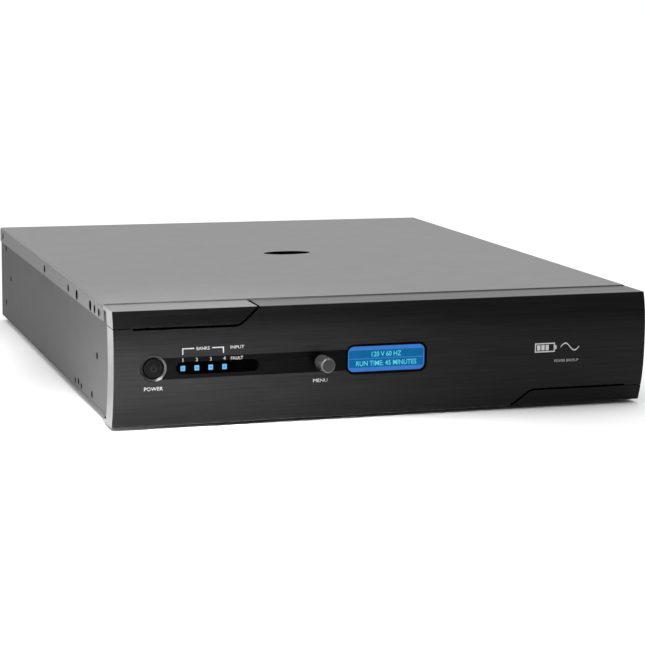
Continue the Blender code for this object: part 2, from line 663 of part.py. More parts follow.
def build_transformer():
    """An iron core with two windows, and a coil that runs through them round the middle limb."""
    x, d, low = TRANSFORMER_X, TRANSFORMER_D, TRAY_TOP
    half_w, half_d = CORE[0] / 2, CORE[1] / 2
    edge = 18.0  # thickness of the core's outer limbs, above and below the windows
    core = Shape().box((x - half_w, d - half_d, low), (x + half_w, d + half_d, low + CORE[2]))
    core = core.finish("transformer_core", "plated_steel")
    windows = Shape()
    for side in (-1, 1):
        near, far = sorted((side * LIMB / 2, side * (half_w - edge)))
        windows.box((x + near, d - half_d - 5, low + edge), (x + far, d + half_d + 5, low + CORE[2] - 16))
    cut(core, windows)
    coil_w, coil_d, coil_low = COIL[0] / 2, COIL[1] / 2, low + edge + 1
    coil = Shape().box((x - coil_w, d - coil_d, coil_low), (x + coil_w, d + coil_d, coil_low + COIL[2]))
    coil = coil.finish("transformer_coil", "copper")
    limb_w, limb_d = LIMB / 2 + 1, half_d + 0.6
    cut(coil, Shape().box((x - limb_w, d - limb_d, low), (x + limb_w, d + limb_d, low + CORE[2])))


def build_main_board():
    """The inverter's board with two heat sinks, two filter capacitors and a relay for each bank."""
    (left, right), (near, far) = MAIN_BOARD
    low = MAIN_BOARD_TOP + GAP
    board = Shape().box((left, near, MAIN_BOARD_TOP - BOARD_THICK), (right, far, MAIN_BOARD_TOP))
    board.finish("main_board", "board_green")
    for name, x in (("heat_sink_left", -150.0), ("heat_sink_right", -90.0)):
        sink = Shape().box((x - 20, SINK_D[0], low), (x - 16, SINK_D[1], MAIN_BOARD_TOP + 60))
        sink = sink.finish(name, "aluminium")
        fins = Shape()
        for row in range(6):
            fin = MAIN_BOARD_TOP + 5 + row * FIN_STEP
            fins.box((x - 16.5, SINK_D[0], fin), (x + 12, SINK_D[1], fin + 2))
        join(sink, fins)
    for number, d in enumerate((262.0, 300.0)):
        can = Shape().cylinder((-35.0, d, low), 45, 15, axis="h", sides=28)
        can.finish(f"filter_capacitor_{number + 1}", "black_plastic")
    for number in range(4):
        x = -180.0 + 40.0 * number
        relay = Shape().box((x, 365, low), (x + 28, 390, MAIN_BOARD_TOP + 26))
        relay.finish(f"bank_relay_{number + 1}", "gloss_plastic")


# ---- rear panel fittings ----

def build_outlets():
    """One duplex receptacle for each bank: two faces on a body that sits inside the rear panel."""
    number = 0
    for h in OUTLET_ROWS:
        for x in OUTLET_COLUMNS:
            number += 1
            body = Shape().box((x - 41, REAR_INSIDE - 22, h - 16.5), (x + 41, REAR_INSIDE, h + 16.5))
            body = body.finish(f"outlet_bank_{number}", "black_plastic")
            faces, slots = Shape(), Shape()
            for side in (-1, 1):
                centre = x + side * OUTLET_PITCH / 2
                face = rounded(*OUTLET_FACE, OUTLET_CORNER, (centre, h), 4)
                faces.prism(face, "d", REAR_INSIDE - 2, DEPTH + 1.6)
                slots.box((centre - 7.4, DEPTH - 14, h - 0.5), (centre - 5.2, DEPTH + 5, h + 6.5))
                slots.box((centre + 5.2, DEPTH - 14, h + 0.3), (centre + 7.4, DEPTH + 5, h + 6.5))
                slots.cylinder((centre, DEPTH - 14, h - 6.6), 20, 2.5, sides=16)
            join(body, faces)
            cut(body, slots)


def build_inlet():
    """A shrouded mains inlet with three flat blades; its cord is a separate thing."""
    x, h = INLET
    body = Shape().prism(rounded(*INLET_SIZE, 3.0, INLET, 4), "d", REAR_FACE - 24, INLET_MOUTH)
    body = body.finish("inlet_housing", "black_plastic")
    join(body, Shape().prism(rounded(44.0, 28.0, 3.0, INLET, 4), "d", REAR_FACE + GAP, INLET_MOUTH - 0.1))
    cut(body, Shape().prism(rounded(25.0, 19.0, 2.0, INLET, 4), "d", INLET_MOUTH - 20, INLET_MOUTH + 5))
    blades = Shape()
    for across, up in ((-6.5, 1.8), (6.5, 1.8), (0.0, -4.2)):
        blades.box((x + across - 1.0, INLET_MOUTH - 22, h + up - 3.8),
                   (x + across + 1.0, INLET_MOUTH - 3.5, h + up + 3.8))
    join(body, blades)


def build_breaker():
    """A breaker whose button stands out behind the panel, and further once it has tripped."""
    x, h = BREAKER_X, BREAKER_H
    body = Shape().box((x - 8, REAR_FACE - 32, h - 13), (x + 8, REAR_INSIDE, h + 13))
    body = body.finish("breaker_body", "black_plastic")
    join(body, Shape().cylinder((x, REAR_FACE - 3, h), 4.2, BREAKER_COLLAR))
    cut(body, Shape().cylinder((x, REAR_FACE - 12, h), 20, BREAKER_RADIUS + GAP))
    inner = -6.0 - BREAKER_TRAVEL  # still guided when it has popped out
    button = [(0, inner), (BREAKER_RADIUS, inner), (BREAKER_RADIUS, BREAKER_REACH - 0.7),
              (BREAKER_RADIUS - 0.5, BREAKER_REACH), (0, BREAKER_REACH)]
    Shape().turned(button, (x, REAR_FACE, h), sides=24).finish(
        "breaker_button", "red_plastic", (x, REAR_FACE, h))


def block(centre, size, low_d, high_d):
    """A box in the rear panel's plane: its middle (x, h), its width and height, and its depths."""
    x, h = centre
    half_w, half_h = size[0] / 2, size[1] / 2
    return Shape().box((x - half_w, low_d, h - half_h), (x + half_w, high_d, h + half_h))


def build_rear_ports():
    mouth = DEPTH + 1.0
    pole, pole_hole = (LINK_SIZE[0] / 2 - 0.4, LINK_SIZE[1]), (14.6, 13.6)
    positive, negative = (LINK[0] - 10.1, LINK[1]), (LINK[0] + 10.1, LINK[1])
    for name, finish, centre, size, hole in (
            ("network_port", "plated_steel", NETWORK_PORT, NETWORK_SIZE, (12.2, 8.2)),
            ("battery_connector_positive", "black_plastic", positive, pole, pole_hole),
            ("battery_connector_negative", "black_plastic", negative, pole, pole_hole)):
        housing = block(centre, size, REAR_INSIDE - 12, mouth).finish(name, finish)
        cut(housing, block(centre, hole, mouth - 12, mouth + 5))

    wide = (SERIAL_PORT[0] + 4.0, SERIAL_PORT[1])
    ports = block(wide, (50.0, 15.0), REAR_INSIDE - 1.6, REAR_INSIDE)
    ports = ports.finish("communication_ports", "plated_steel")
    join(ports, Shape().prism(rounded(*SERIAL_SIZE, 2.0, SERIAL_PORT, 3), "d", REAR_INSIDE - 10, DEPTH + 0.4))
    join(ports, block(DATA_PORT, DATA_SIZE, REAR_INSIDE - 14, DEPTH + 0.3))
    web = block((DATA_PORT[0], DATA_PORT[1] + 7), (DATA_SIZE[0], 9.0), REAR_INSIDE - 6, REAR_INSIDE - 0.5)
    join(ports, web)
    cut(ports, block(DATA_PORT, (8.4, 7.2), REAR_INSIDE - 8, mouth + 5))
    join(ports, block(DATA_PORT, (5.0, 2.6), REAR_INSIDE - 9, REAR_INSIDE))

    stud = [(0, -6.0), (2.0, -6.0), (2.0, 0.3), (4.5, 0.3), (4.5, 2.6), (3.6, 3.4), (0, 3.4)]
    Shape().turned(stud, (GROUND_X, REAR_FACE, GROUND_H), sides=20).finish("ground_terminal", "brass")


def turned_box(low, high, centre, turn, pitch=0.0):
    """A box made about the fan's axis, pitched about its own length, turned and moved into place."""
    made = Shape().box(low, high)
    turns = Matrix.Rotation(turn, 4, "Y") @ Matrix.Rotation(pitch, 4, "X")
    bmesh.ops.transform(made.bm, matrix=Matrix.Translation(centre) @ turns, verts=made.bm.verts[:])
    return made


def build_fan():
    axis = (FAN_X, 0, FAN_H)
    frame = Shape().prism(rounded(FAN_SIZE, FAN_SIZE, 5.0, (FAN_X, FAN_H), 4), "d", FAN_FRONT,
                          FAN_FRONT + FAN_DEPTH).finish("fan_frame", "black_plastic")
    cut(frame, Shape().cylinder((FAN_X, FAN_FRONT - 5, FAN_H), FAN_DEPTH + 10, FAN_BORE + 0.5, sides=40))
    middle = Vector((FAN_X, FAN_FRONT, FAN_H))
    for quarter in range(4):
        angle = math.pi / 2 * (quarter + 0.5)
        join(frame, turned_box((10, 0, -2), (41.5, 3, 2), middle, angle))
    join(frame, Shape().cylinder(middle, 3.5, 16.0, sides=28))

    impeller = Shape().cylinder((FAN_X, FAN_FRONT + 4.2, FAN_H), 18.5, 17.0, sides=36)
    impeller = impeller.finish("fan_impeller", "black_plastic", axis)
    blades_middle = middle + Vector((0, 13.5, 0))
    for number in range(FAN_BLADES):
        turn = 2 * math.pi * number / FAN_BLADES
        join(impeller, turned_box((15.5, -1.0, -8.0), (FAN_BORE - 1.0, 1.0, 8.0), blades_middle, turn,
                                  math.radians(52)))

    guard_d = REAR_FACE + 1.3
    half = GUARD_WIRE / 2
    rings = []
    for radius in GUARD_RINGS:
        wire = [(radius - half, -0.7), (radius + half, -0.7), (radius + half, 0.7), (radius - half, 0.7)]
        rings.append(Shape().turned(wire, (FAN_X, guard_d, FAN_H), sides=32))
    guard = rings[0].finish("fan_guard", "plated_steel")
    for ring in rings[1:]:
        join(guard, ring)
    for quarter in range(2):
        angle = math.pi / 2 * (quarter + 0.5)
        join(guard, turned_box((-50, -0.6, -half), (50, 0.65, half), (FAN_X, guard_d, FAN_H), angle))


# ---- the whole unit ----

for old in list(bpy.data.objects):
    bpy.data.objects.remove(old)

UNIT = collection("uninterruptible_power_supply")
CUTTERS = collection("cutters")

build_front_panel()
build_controls()
build_menu_encoder()
build_lcd()
build_side_panel("left_side_panel", right=False)
build_side_panel("right_side_panel", right=True)
build_cover()
build_tray()
build_sub_panel()
build_rear_panel()
build_feet()
build_batteries()
build_transformer()
build_main_board()
build_outlets()
build_inlet()
build_breaker()
build_rear_ports()
build_fan()
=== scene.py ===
import math
import random

import bmesh
import bpy
from mathutils import Matrix, Vector
from mathutils.bvhtree import BVHTree


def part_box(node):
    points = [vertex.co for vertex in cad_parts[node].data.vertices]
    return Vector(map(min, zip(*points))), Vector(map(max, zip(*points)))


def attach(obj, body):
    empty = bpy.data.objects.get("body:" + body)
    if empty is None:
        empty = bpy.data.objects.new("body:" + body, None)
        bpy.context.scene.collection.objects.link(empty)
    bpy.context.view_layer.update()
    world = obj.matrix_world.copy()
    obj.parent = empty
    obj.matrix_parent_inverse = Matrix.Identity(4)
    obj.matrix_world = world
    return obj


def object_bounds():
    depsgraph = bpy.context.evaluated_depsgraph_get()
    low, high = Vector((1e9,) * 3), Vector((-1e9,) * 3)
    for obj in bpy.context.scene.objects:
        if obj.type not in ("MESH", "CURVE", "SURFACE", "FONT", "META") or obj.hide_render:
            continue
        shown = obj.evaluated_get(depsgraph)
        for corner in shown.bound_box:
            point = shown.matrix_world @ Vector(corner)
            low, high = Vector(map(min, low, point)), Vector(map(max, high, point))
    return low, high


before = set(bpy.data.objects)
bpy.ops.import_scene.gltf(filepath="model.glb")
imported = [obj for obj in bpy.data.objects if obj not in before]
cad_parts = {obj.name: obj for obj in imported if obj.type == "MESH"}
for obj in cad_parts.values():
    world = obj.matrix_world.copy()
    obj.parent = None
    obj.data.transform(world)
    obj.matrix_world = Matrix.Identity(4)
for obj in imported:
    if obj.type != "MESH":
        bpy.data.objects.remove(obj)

CAD_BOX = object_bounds()
MM = 0.001
random.seed(7)

# Reference lines of the unit, worked out from the frame. Positions below are (x, d, h) in millimetres:
# x from the middle, d back from the front panel's top front edge, h up from its bottom edge.
PANEL_LOW, PANEL_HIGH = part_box("front_panel")
FLANGE_DEPTH = 31.0  # from the panel's top front edge back to the end of its flanges
FRONT_Y = PANEL_HIGH.y - FLANGE_DEPTH * MM
BASE_Z = PANEL_LOW.z
AHEAD = -60.0  # a depth in front of everything
BEHIND = (CAD_BOX[1].y - FRONT_Y) / MM + 40.0  # a depth behind everything

# Thin layers, as how near and how far out they reach from the surface under them
PRINT = (0.02, 0.12)
FILM = (0.02, 0.10)
FILM_INK = (0.11, 0.16)


def at(x, d, h):
    return Vector((x * MM, FRONT_Y + d * MM, BASE_Z + h * MM))


def middle(node):
    """A node's centre as (x, d, h)."""
    low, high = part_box(node)
    centre = (low + high) / 2
    return centre.x / MM, (centre.y - FRONT_Y) / MM, (centre.z - BASE_Z) / MM


def span(node):
    """A node's lowest and highest corners as (x, d, h)."""
    return [Vector((p.x / MM, (p.y - FRONT_Y) / MM, (p.z - BASE_Z) / MM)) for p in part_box(node)]


# ---- camera, floor and light ----

CAMERA_AT = (-515.8, -1402.5, 324.0)
CAMERA_YAW, CAMERA_PITCH, CAMERA_ROLL = -18.236, 9.621, 0.783
CAMERA_LENS = 110.37

# The dome's brightness: an even part, parts that grow upwards and towards the rear, and its least value
DOME_BASE, DOME_OVERHEAD, DOME_REAR, DOME_LEAST = 0.25, 1.25, 0.42, 0.08
FLOOR_REACH = 120.0
# Name, place, aim, width, height, power and spread of each area light, in metres, watts and degrees
LIGHTS = (
    ("key", (-0.2, -0.1, 2.4), (0.1, 0.1, 0.0), 1.8, 1.8, 9.8, 180),
    ("side_floor", (-0.60, -0.34, 0.50), (-0.40, -0.34, 0.0), 0.10, 0.10, 1.0, 30),
    ("rear_floor", (-0.80, 0.16, 0.50), (-0.50, 0.14, 0.0), 0.20, 0.10, 0.6, 40),
    ("side_low", (-0.42, -0.44, 0.012), (-0.215, -0.15, -0.01), 0.06, 0.02, 0.17, 40),
    ("front_low", (0.12, -1.25, 0.06), (-0.15, -0.25, 0.03), 0.5, 0.3, 0.9, 180),
    ("front_floor", (-0.34, -0.80, 0.50), (-0.20, -0.44, 0.0), 0.15, 0.15, 1.4, 40),
    ("left_soft", (-1.6, -0.9, 0.5), (-0.1, -0.25, 0.05), 0.6, 0.6, 2.0, 180),
)


def make_camera():
    data = bpy.data.cameras.new("camera")
    data.lens = CAMERA_LENS
    data.sensor_width = 36.0
    data.clip_end = 500.0
    camera = bpy.data.objects.new("camera", data)
    bpy.context.scene.collection.objects.link(camera)
    camera.location = at(*CAMERA_AT)
    turn = Matrix.Rotation(math.radians(CAMERA_YAW), 3, "Z")
    tilt = Matrix.Rotation(math.radians(90 - CAMERA_PITCH), 3, "X")
    roll = Matrix.Rotation(math.radians(CAMERA_ROLL), 3, "Z")
    camera.rotation_euler = (turn @ tilt @ roll).to_euler()
    bpy.context.scene.camera = camera


def area_light(name, place, aim, size, size_y, power, spread):
    data = bpy.data.lights.new(name, "AREA")
    data.shape = "RECTANGLE"
    data.size = size
    data.size_y = size_y
    data.energy = power
    data.spread = math.radians(spread)
    lamp = bpy.data.objects.new(name, data)
    bpy.context.scene.collection.objects.link(lamp)
    lamp.location = place
    lamp.rotation_euler = (Vector(aim) - Vector(place)).to_track_quat("-Z", "Y").to_euler()


def studio_world():
    """A soft dome: brightest overhead and behind the unit, dim in front of it."""
    world = bpy.data.worlds.new("studio")
    bpy.context.scene.world = world
    world.use_nodes = True
    nodes, links = world.node_tree.nodes, world.node_tree.links
    split = nodes.new("ShaderNodeSeparateXYZ")
    links.new(nodes.new("ShaderNodeTexCoord").outputs["Generated"], split.inputs["Vector"])

    def step(operation, source, *values):
        node = nodes.new("ShaderNodeMath")
        node.operation = operation
        links.new(source, node.inputs[0])
        for socket, value in zip(node.inputs[1:], values):
            if isinstance(value, float):
                socket.default_value = value
            else:
                links.new(value, socket)
        return node.outputs["Value"]

    level = step("MULTIPLY_ADD", split.outputs["Z"], DOME_OVERHEAD, DOME_BASE)
    level = step("MULTIPLY_ADD", split.outputs["Y"], DOME_REAR, level)
    background = nodes["Background"]
    background.inputs["Color"].default_value = (1.0, 1.0, 1.0, 1.0)
    links.new(step("MAXIMUM", level, DOME_LEAST), background.inputs["Strength"])


def make_stage():
    studio_world()
    floor_mesh = bpy.data.meshes.new("floor")
    bm = bmesh.new()
    bmesh.ops.create_grid(bm, x_segments=2, y_segments=2, size=FLOOR_REACH)
    bm.to_mesh(floor_mesh)
    bm.free()
    floor = bpy.data.objects.new("floor", floor_mesh)
    bpy.context.scene.collection.objects.link(floor)
    paper = bpy.data.materials.new("pale_floor")
    paper.use_nodes = True
    shader = paper.node_tree.nodes["Principled BSDF"]
    shader.inputs["Base Color"].default_value = (0.94, 0.94, 0.94, 1.0)
    shader.inputs["Roughness"].default_value = 0.9
    floor_mesh.materials.append(paper)

    for light in LIGHTS:
        area_light(*light)
    bpy.context.scene.view_settings.view_transform = "Standard"


# ---- material building ----

def linear(level):
    """The linear value of an 8-bit display level."""
    value = level / 255
    return value / 12.92 if value <= 0.04045 else ((value + 0.055) / 1.055) ** 2.4


def rgb(red, green=None, blue=None):
    green, blue = (red, red) if green is None else (green, blue)
    return (linear(red), linear(green), linear(blue), 1.0)


class Paint:
    """A material with a Principled shader and small helpers to wire noise into it."""

    def __init__(self, name, colour, roughness, metallic=0.0, **sockets):
        self.material = bpy.data.materials.new(name)
        self.material.use_nodes = True
        self.nodes = self.material.node_tree.nodes
        self.links = self.material.node_tree.links
        self.shader = self.nodes["Principled BSDF"]
        self.set("Base Color", colour)
        self.set("Roughness", roughness)
        self.set("Metallic", metallic)
        for socket, value in sockets.items():
            self.set(socket.replace("_", " "), value)
        self.coordinates = self.nodes.new("ShaderNodeTexCoord").outputs["Object"]

    def set(self, socket, value):
        self.shader.inputs[socket].default_value = value

    def noise(self, scale, detail=4.0, stretch=(1, 1, 1), roughness=0.55):
        mapping = self.nodes.new("ShaderNodeMapping")
        mapping.inputs["Scale"].default_value = stretch
        self.links.new(self.coordinates, mapping.inputs["Vector"])
        noise = self.nodes.new("ShaderNodeTexNoise")
        noise.inputs["Scale"].default_value = scale
        noise.inputs["Detail"].default_value = detail
        noise.inputs["Roughness"].default_value = roughness
        self.links.new(mapping.outputs["Vector"], noise.inputs["Vector"])
        return noise.outputs["Fac"]

    def spread(self, source, low, high, start=0.3, end=0.7):
        """Map a 0 to 1 source onto a range of numbers."""
        node = self.nodes.new("ShaderNodeMapRange")
        node.inputs["From Min"].default_value = start
        node.inputs["From Max"].default_value = end
        node.inputs["To Min"].default_value = low
        node.inputs["To Max"].default_value = high
        self.links.new(source, node.inputs["Value"])
        return node.outputs["Result"]

    def mix(self, factor, first, second):
        node = self.nodes.new("ShaderNodeMix")
        node.data_type = "RGBA"
        self.links.new(factor, node.inputs["Factor"])
        for socket, value in ((node.inputs["A"], first), (node.inputs["B"], second)):
            if isinstance(value, tuple):
                socket.default_value = value
            else:
                self.links.new(value, socket)
        return node.outputs["Result"]

    def bump(self, source, strength, distance):
        node = self.nodes.new("ShaderNodeBump")
        node.inputs["Strength"].default_value = strength
        node.inputs["Distance"].default_value = distance
        self.links.new(source, node.inputs["Height"])
        self.links.new(node.outputs["Normal"], self.shader.inputs["Normal"])

    def wire(self, source, socket):
        self.links.new(source, self.shader.inputs[socket])


GRAIN_ALONG, GRAIN_ACROSS = 22, 1900  # how closely the brushing varies along X and across it


def brushed(name, dark, light, metallic=0.85, roughness=0.32):
    """Metal brushed along X: long fine streaks in colour, roughness and height."""
    paint = Paint(name, dark, roughness, metallic, Anisotropic=0.4)
    streaks = paint.noise(1.0, 4.0, (GRAIN_ALONG, GRAIN_ACROSS, GRAIN_ACROSS), 0.6)
    broad = paint.noise(1.0, 3.0, (GRAIN_ALONG * 0.3, GRAIN_ACROSS / 14, GRAIN_ACROSS / 14))
    paint.wire(paint.mix(paint.spread(streaks, 0.0, 1.0), dark, light), "Base Color")
    paint.wire(paint.spread(broad, roughness - 0.04, roughness + 0.05), "Roughness")
    paint.bump(streaks, 0.12, 0.00004)
    tangent = paint.nodes.new("ShaderNodeTangent")
    tangent.direction_type = "RADIAL"
    tangent.axis = "X"
    paint.links.new(tangent.outputs["Tangent"], paint.shader.inputs["Tangent"])
    return paint.material


def powder_coat(name, level, roughness=0.55, specular=0.25):
    """Satin powder coat: a fine orange-peel skin with a faint mottle."""
    base, dark = rgb(level), rgb(level - 4)
    paint = Paint(name, base, roughness, 0.0, Specular_IOR_Level=specular)
    mottle = paint.noise(60.0, 4.0)
    skin = paint.noise(1800.0, 2.0)
    paint.wire(paint.mix(paint.spread(mottle, 0.0, 1.0), base, dark), "Base Color")
    paint.wire(paint.spread(skin, roughness - 0.04, roughness + 0.06), "Roughness")
    paint.bump(skin, 0.12, 0.00008)
    return paint.material


def moulded(name, colour, roughness=0.45, grain=2600.0, strength=0.15, specular=0.5):
    """Moulded plastic with a fine spark-eroded texture."""
    paint = Paint(name, colour, roughness, Specular_IOR_Level=specular)
    texture = paint.noise(grain, 2.0)
    wear = paint.noise(90.0, 5.0)
    paint.wire(paint.spread(wear, roughness - 0.05, roughness + 0.08), "Roughness")
    lighter = tuple(min(1.0, c * 1.35) for c in colour[:3]) + (1.0,)
    paint.wire(paint.mix(paint.spread(wear, 0.0, 1.0, 0.4, 0.75), colour, lighter), "Base Color")
    paint.bump(texture, strength, 0.00005)
    return paint.material


def metal(name, colour, roughness=0.3, scale=700.0, metallic=1.0):
    """Turned or plated metal with fine marks in colour, roughness and height."""
    paint = Paint(name, colour, roughness, metallic)
    marks = paint.noise(1.0, 5.0, (scale * 0.2, scale * 0.2, scale))
    darker = tuple(c * 0.72 for c in colour[:3]) + (1.0,)
    paint.wire(paint.mix(paint.spread(marks, 0.0, 1.0), darker, colour), "Base Color")
    paint.wire(paint.spread(marks, roughness - 0.06, roughness + 0.1), "Roughness")
    paint.bump(marks, 0.1, 0.00004)
    return paint.material


def glowing(name, colour, spots=0.12):
    """A lit surface: its colour varies a little, as a backlight does."""
    paint = Paint(name, (0.0, 0.0, 0.0, 1.0), 0.5, Specular_IOR_Level=0.02)
    cloud = paint.noise(160.0, 3.0)
    dimmer = tuple(c * (1 - spots) for c in colour[:3]) + (1.0,)
    paint.wire(paint.mix(paint.spread(cloud, 0.0, 1.0), colour, dimmer), "Emission Color")
    paint.set("Emission Strength", 1.0)
    return paint.material


def printed_ink(name, level):
    """Ink or film of one grey level, slightly patchy."""
    paint = Paint(name, rgb(level), 0.55)
    patch = paint.noise(900.0, 3.0)
    paint.wire(paint.mix(paint.spread(patch, 0.0, 1.0), rgb(level), rgb(level - 18)), "Base Color")
    return paint.material


LOOKS = {
    "face": brushed("face_aluminium", (0.007, 0.007, 0.0075, 1), (0.016, 0.016, 0.0165, 1)),
    "trim": brushed("trim_aluminium", (0.005, 0.005, 0.0055, 1), (0.011, 0.011, 0.0115, 1)),
    "band": brushed("band_aluminium", (0.0025, 0.0025, 0.0025, 1), (0.006, 0.006, 0.0062, 1), 1.0),
    # Painted sheen: lighter copies of the black aluminium for the extrusion's top faces, standing in for
    # the reflection they catch.
    "dark_top_sheen": brushed("panel_top_painted_sheen", (0.045, 0.045, 0.046, 1), (0.06, 0.06, 0.061, 1)),
    "light_top_sheen": brushed("trim_top_painted_sheen", (0.19, 0.19, 0.19, 1), (0.22, 0.22, 0.22, 1)),
    "cut_end": brushed("cut_end_aluminium", (0.20, 0.20, 0.20, 1), (0.25, 0.25, 0.25, 1)),
    # A near-black for painted shade: in grooves, on hole walls, in hollows and under edges.
    "painted_shade": moulded("painted_shade_black", (0.001, 0.001, 0.001, 1), 0.7, 900.0, 0.1, specular=0.0),
    "grey": powder_coat("grey_powder_coat", 122),
    # A darker copy of the cover's grey for its side flanges: painted shade.
    "shaded_flange": powder_coat("grey_powder_coat_painted_shade", 106, 0.6, 0.15),
    "side": powder_coat("grey_powder_coat_side", 70, 0.6, 0.12),
    "rear": powder_coat("rear_powder_coat", 66),
    "window": moulded("smoked_window", (0.0004, 0.0004, 0.0005, 1), 0.4, 400.0, 0.02, specular=0.0),
    "gloss": moulded("gloss_black_frame", (0.0006, 0.0006, 0.0008, 1), 0.35, 500.0, 0.03, specular=0.02),
    "cap": moulded("button_black", (0.0028, 0.0028, 0.0028, 1), 0.5, specular=0.03),
    "cap_mark": moulded("cap_mark", (0.014, 0.014, 0.014, 1), 0.5, specular=0.05),
    "dish": brushed("dish_aluminium", (0.026, 0.026, 0.027, 1), (0.045, 0.045, 0.046, 1), 0.85, 0.38),
    "knob": metal("knob_aluminium", (0.088, 0.088, 0.09, 1), 0.40, 1500.0, 0.5),
    # A darker copy of the knob's metal for its front face: painted shade.
    "shaded_knob_tip": metal("knob_tip_painted_shade", (0.018, 0.018, 0.019, 1), 0.42, 1500.0, 0.5),
    "steel": metal("plated_steel", (0.62, 0.62, 0.60, 1), 0.28),
    "screw": metal("black_screw", (0.02, 0.02, 0.021, 1), 0.35),
    "brass": metal("turned_brass", (0.72, 0.52, 0.2, 1), 0.25),
    "gold": metal("gold_contact", (0.80, 0.58, 0.22, 1), 0.22),
    "copper": metal("copper_winding", (0.55, 0.22, 0.09, 1), 0.35),
    "aluminium": metal("heat_sink_aluminium", (0.78, 0.78, 0.8, 1), 0.35),
    "plastic": moulded("black_plastic", (0.012, 0.012, 0.013, 1), 0.45),
    "port_blue": moulded("port_blue", (0.02, 0.07, 0.22, 1), 0.4),
    "outlet": moulded("outlet_black", (0.014, 0.014, 0.015, 1), 0.35),
    "rubber": moulded("foot_rubber", (0.016, 0.016, 0.016, 1), 0.8, 1500.0, 0.3),
    "battery": moulded("battery_case", (0.055, 0.057, 0.06, 1), 0.5),
    "board": moulded("circuit_board", (0.012, 0.13, 0.045, 1), 0.35),
    "red": moulded("red_cap", (0.42, 0.012, 0.012, 1), 0.3),
    "red_wire": moulded("red_wire", (0.42, 0.015, 0.012, 1), 0.4),
    "white_ink": printed_ink("white_ink", 168),
    "silver_ink": metal("silver_ink", (0.62, 0.62, 0.62, 1), 0.4, 900.0),
    "rear_ink": printed_ink("rear_ink", 205),
    "label_film": printed_ink("label_film", 190),
    "label_ink": printed_ink("label_ink", 34),
    "green_lamp": moulded("green_lamp", (0.02, 0.30, 0.05, 1), 0.3),
    "amber_lamp": moulded("amber_lamp", (0.45, 0.16, 0.01, 1), 0.3),
    "lcd_border": glowing("lcd_border", rgb(64, 122, 204)),
    "lcd_row": glowing("lcd_row", rgb(14, 104, 158)),
    "lcd_text": glowing("lcd_text", rgb(100, 215, 235), spots=0.06),
    "lamp": glowing("lamp_blue", rgb(118, 200, 255)),
    "lamp_core": glowing("lamp_core", rgb(70, 158, 224)),
}

NODE_LOOKS = {
    "face": ["front_panel"],
    "trim": ["upper_left_trim", "lower_right_trim"],
    "grey": ["top_cover"],
    "side": ["left_side_panel", "right_side_panel", "bottom_tray"],
    "rear": ["rear_panel_ports", "rear_panel_outlets", "rear_panel_inlet"],
    "window": ["control_window"],
    "gloss": ["lcd_bezel", "power_switch", "encoder_rotor",
              "bank_relay_1", "bank_relay_2", "bank_relay_3", "bank_relay_4"],
    "cap": ["power_button_cap"],
    "dish": ["power_button_bezel"],
    "knob": ["menu_knob"],
    "steel": ["encoder_shaft", "encoder_body", "sub_panel", "battery_bracket", "transformer_core",
              "fan_guard", "communication_ports", "network_port"],
    "brass": ["ground_terminal"],
    "copper": ["transformer_coil"],
    "aluminium": ["heat_sink_left", "heat_sink_right"],
    # The cover plug is painted near-black for the shade in its hollow.
    "painted_shade": ["cover_plug"],
    "plastic": ["fan_frame", "fan_impeller", "inlet_housing", "breaker_body",
                "battery_connector_positive", "battery_connector_negative",
                "filter_capacitor_1", "filter_capacitor_2", "battery_lead_negative"],
    "outlet": ["outlet_bank_1", "outlet_bank_2", "outlet_bank_3", "outlet_bank_4"],
    "rubber": ["foot_front_left", "foot_front_right", "foot_rear_left", "foot_rear_right"],
    "battery": ["battery_1", "battery_2", "battery_3", "battery_4"],
    "board": ["main_board", "control_board", "lcd_module"],
    "red": ["breaker_button"],
    "red_wire": ["battery_lead_positive"],
}


def dress_nodes():
    for look, nodes in NODE_LOOKS.items():
        for name in nodes:
            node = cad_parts[name]
            node.data.materials.clear()
            node.data.materials.append(LOOKS[look])


def dress_faces(node, look, test):
    """Give a look of their own to the faces that pass a test on their centre (x, d, h) and normal."""
    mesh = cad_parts[node].data
    mesh.materials.append(LOOKS[look])
    for face in mesh.polygons:
        x, y, z = face.center
        if test(x / MM, (y - FRONT_Y) / MM, (z - BASE_Z) / MM, face.normal):
            face.material_index = len(mesh.materials) - 1


NEAR = 0.1  # faces this close to a limit belong to it
BAND_BELOW, BAND_ABOVE = 4.0, 5.0  # how far the recessed band passes the control window
LIGHT_PIPE_END = 14.0  # the light pipes on the control board stand in front of this depth
HOLE_WALL = 0.3  # how far outside its radius a hole's wall may have its faces' centres


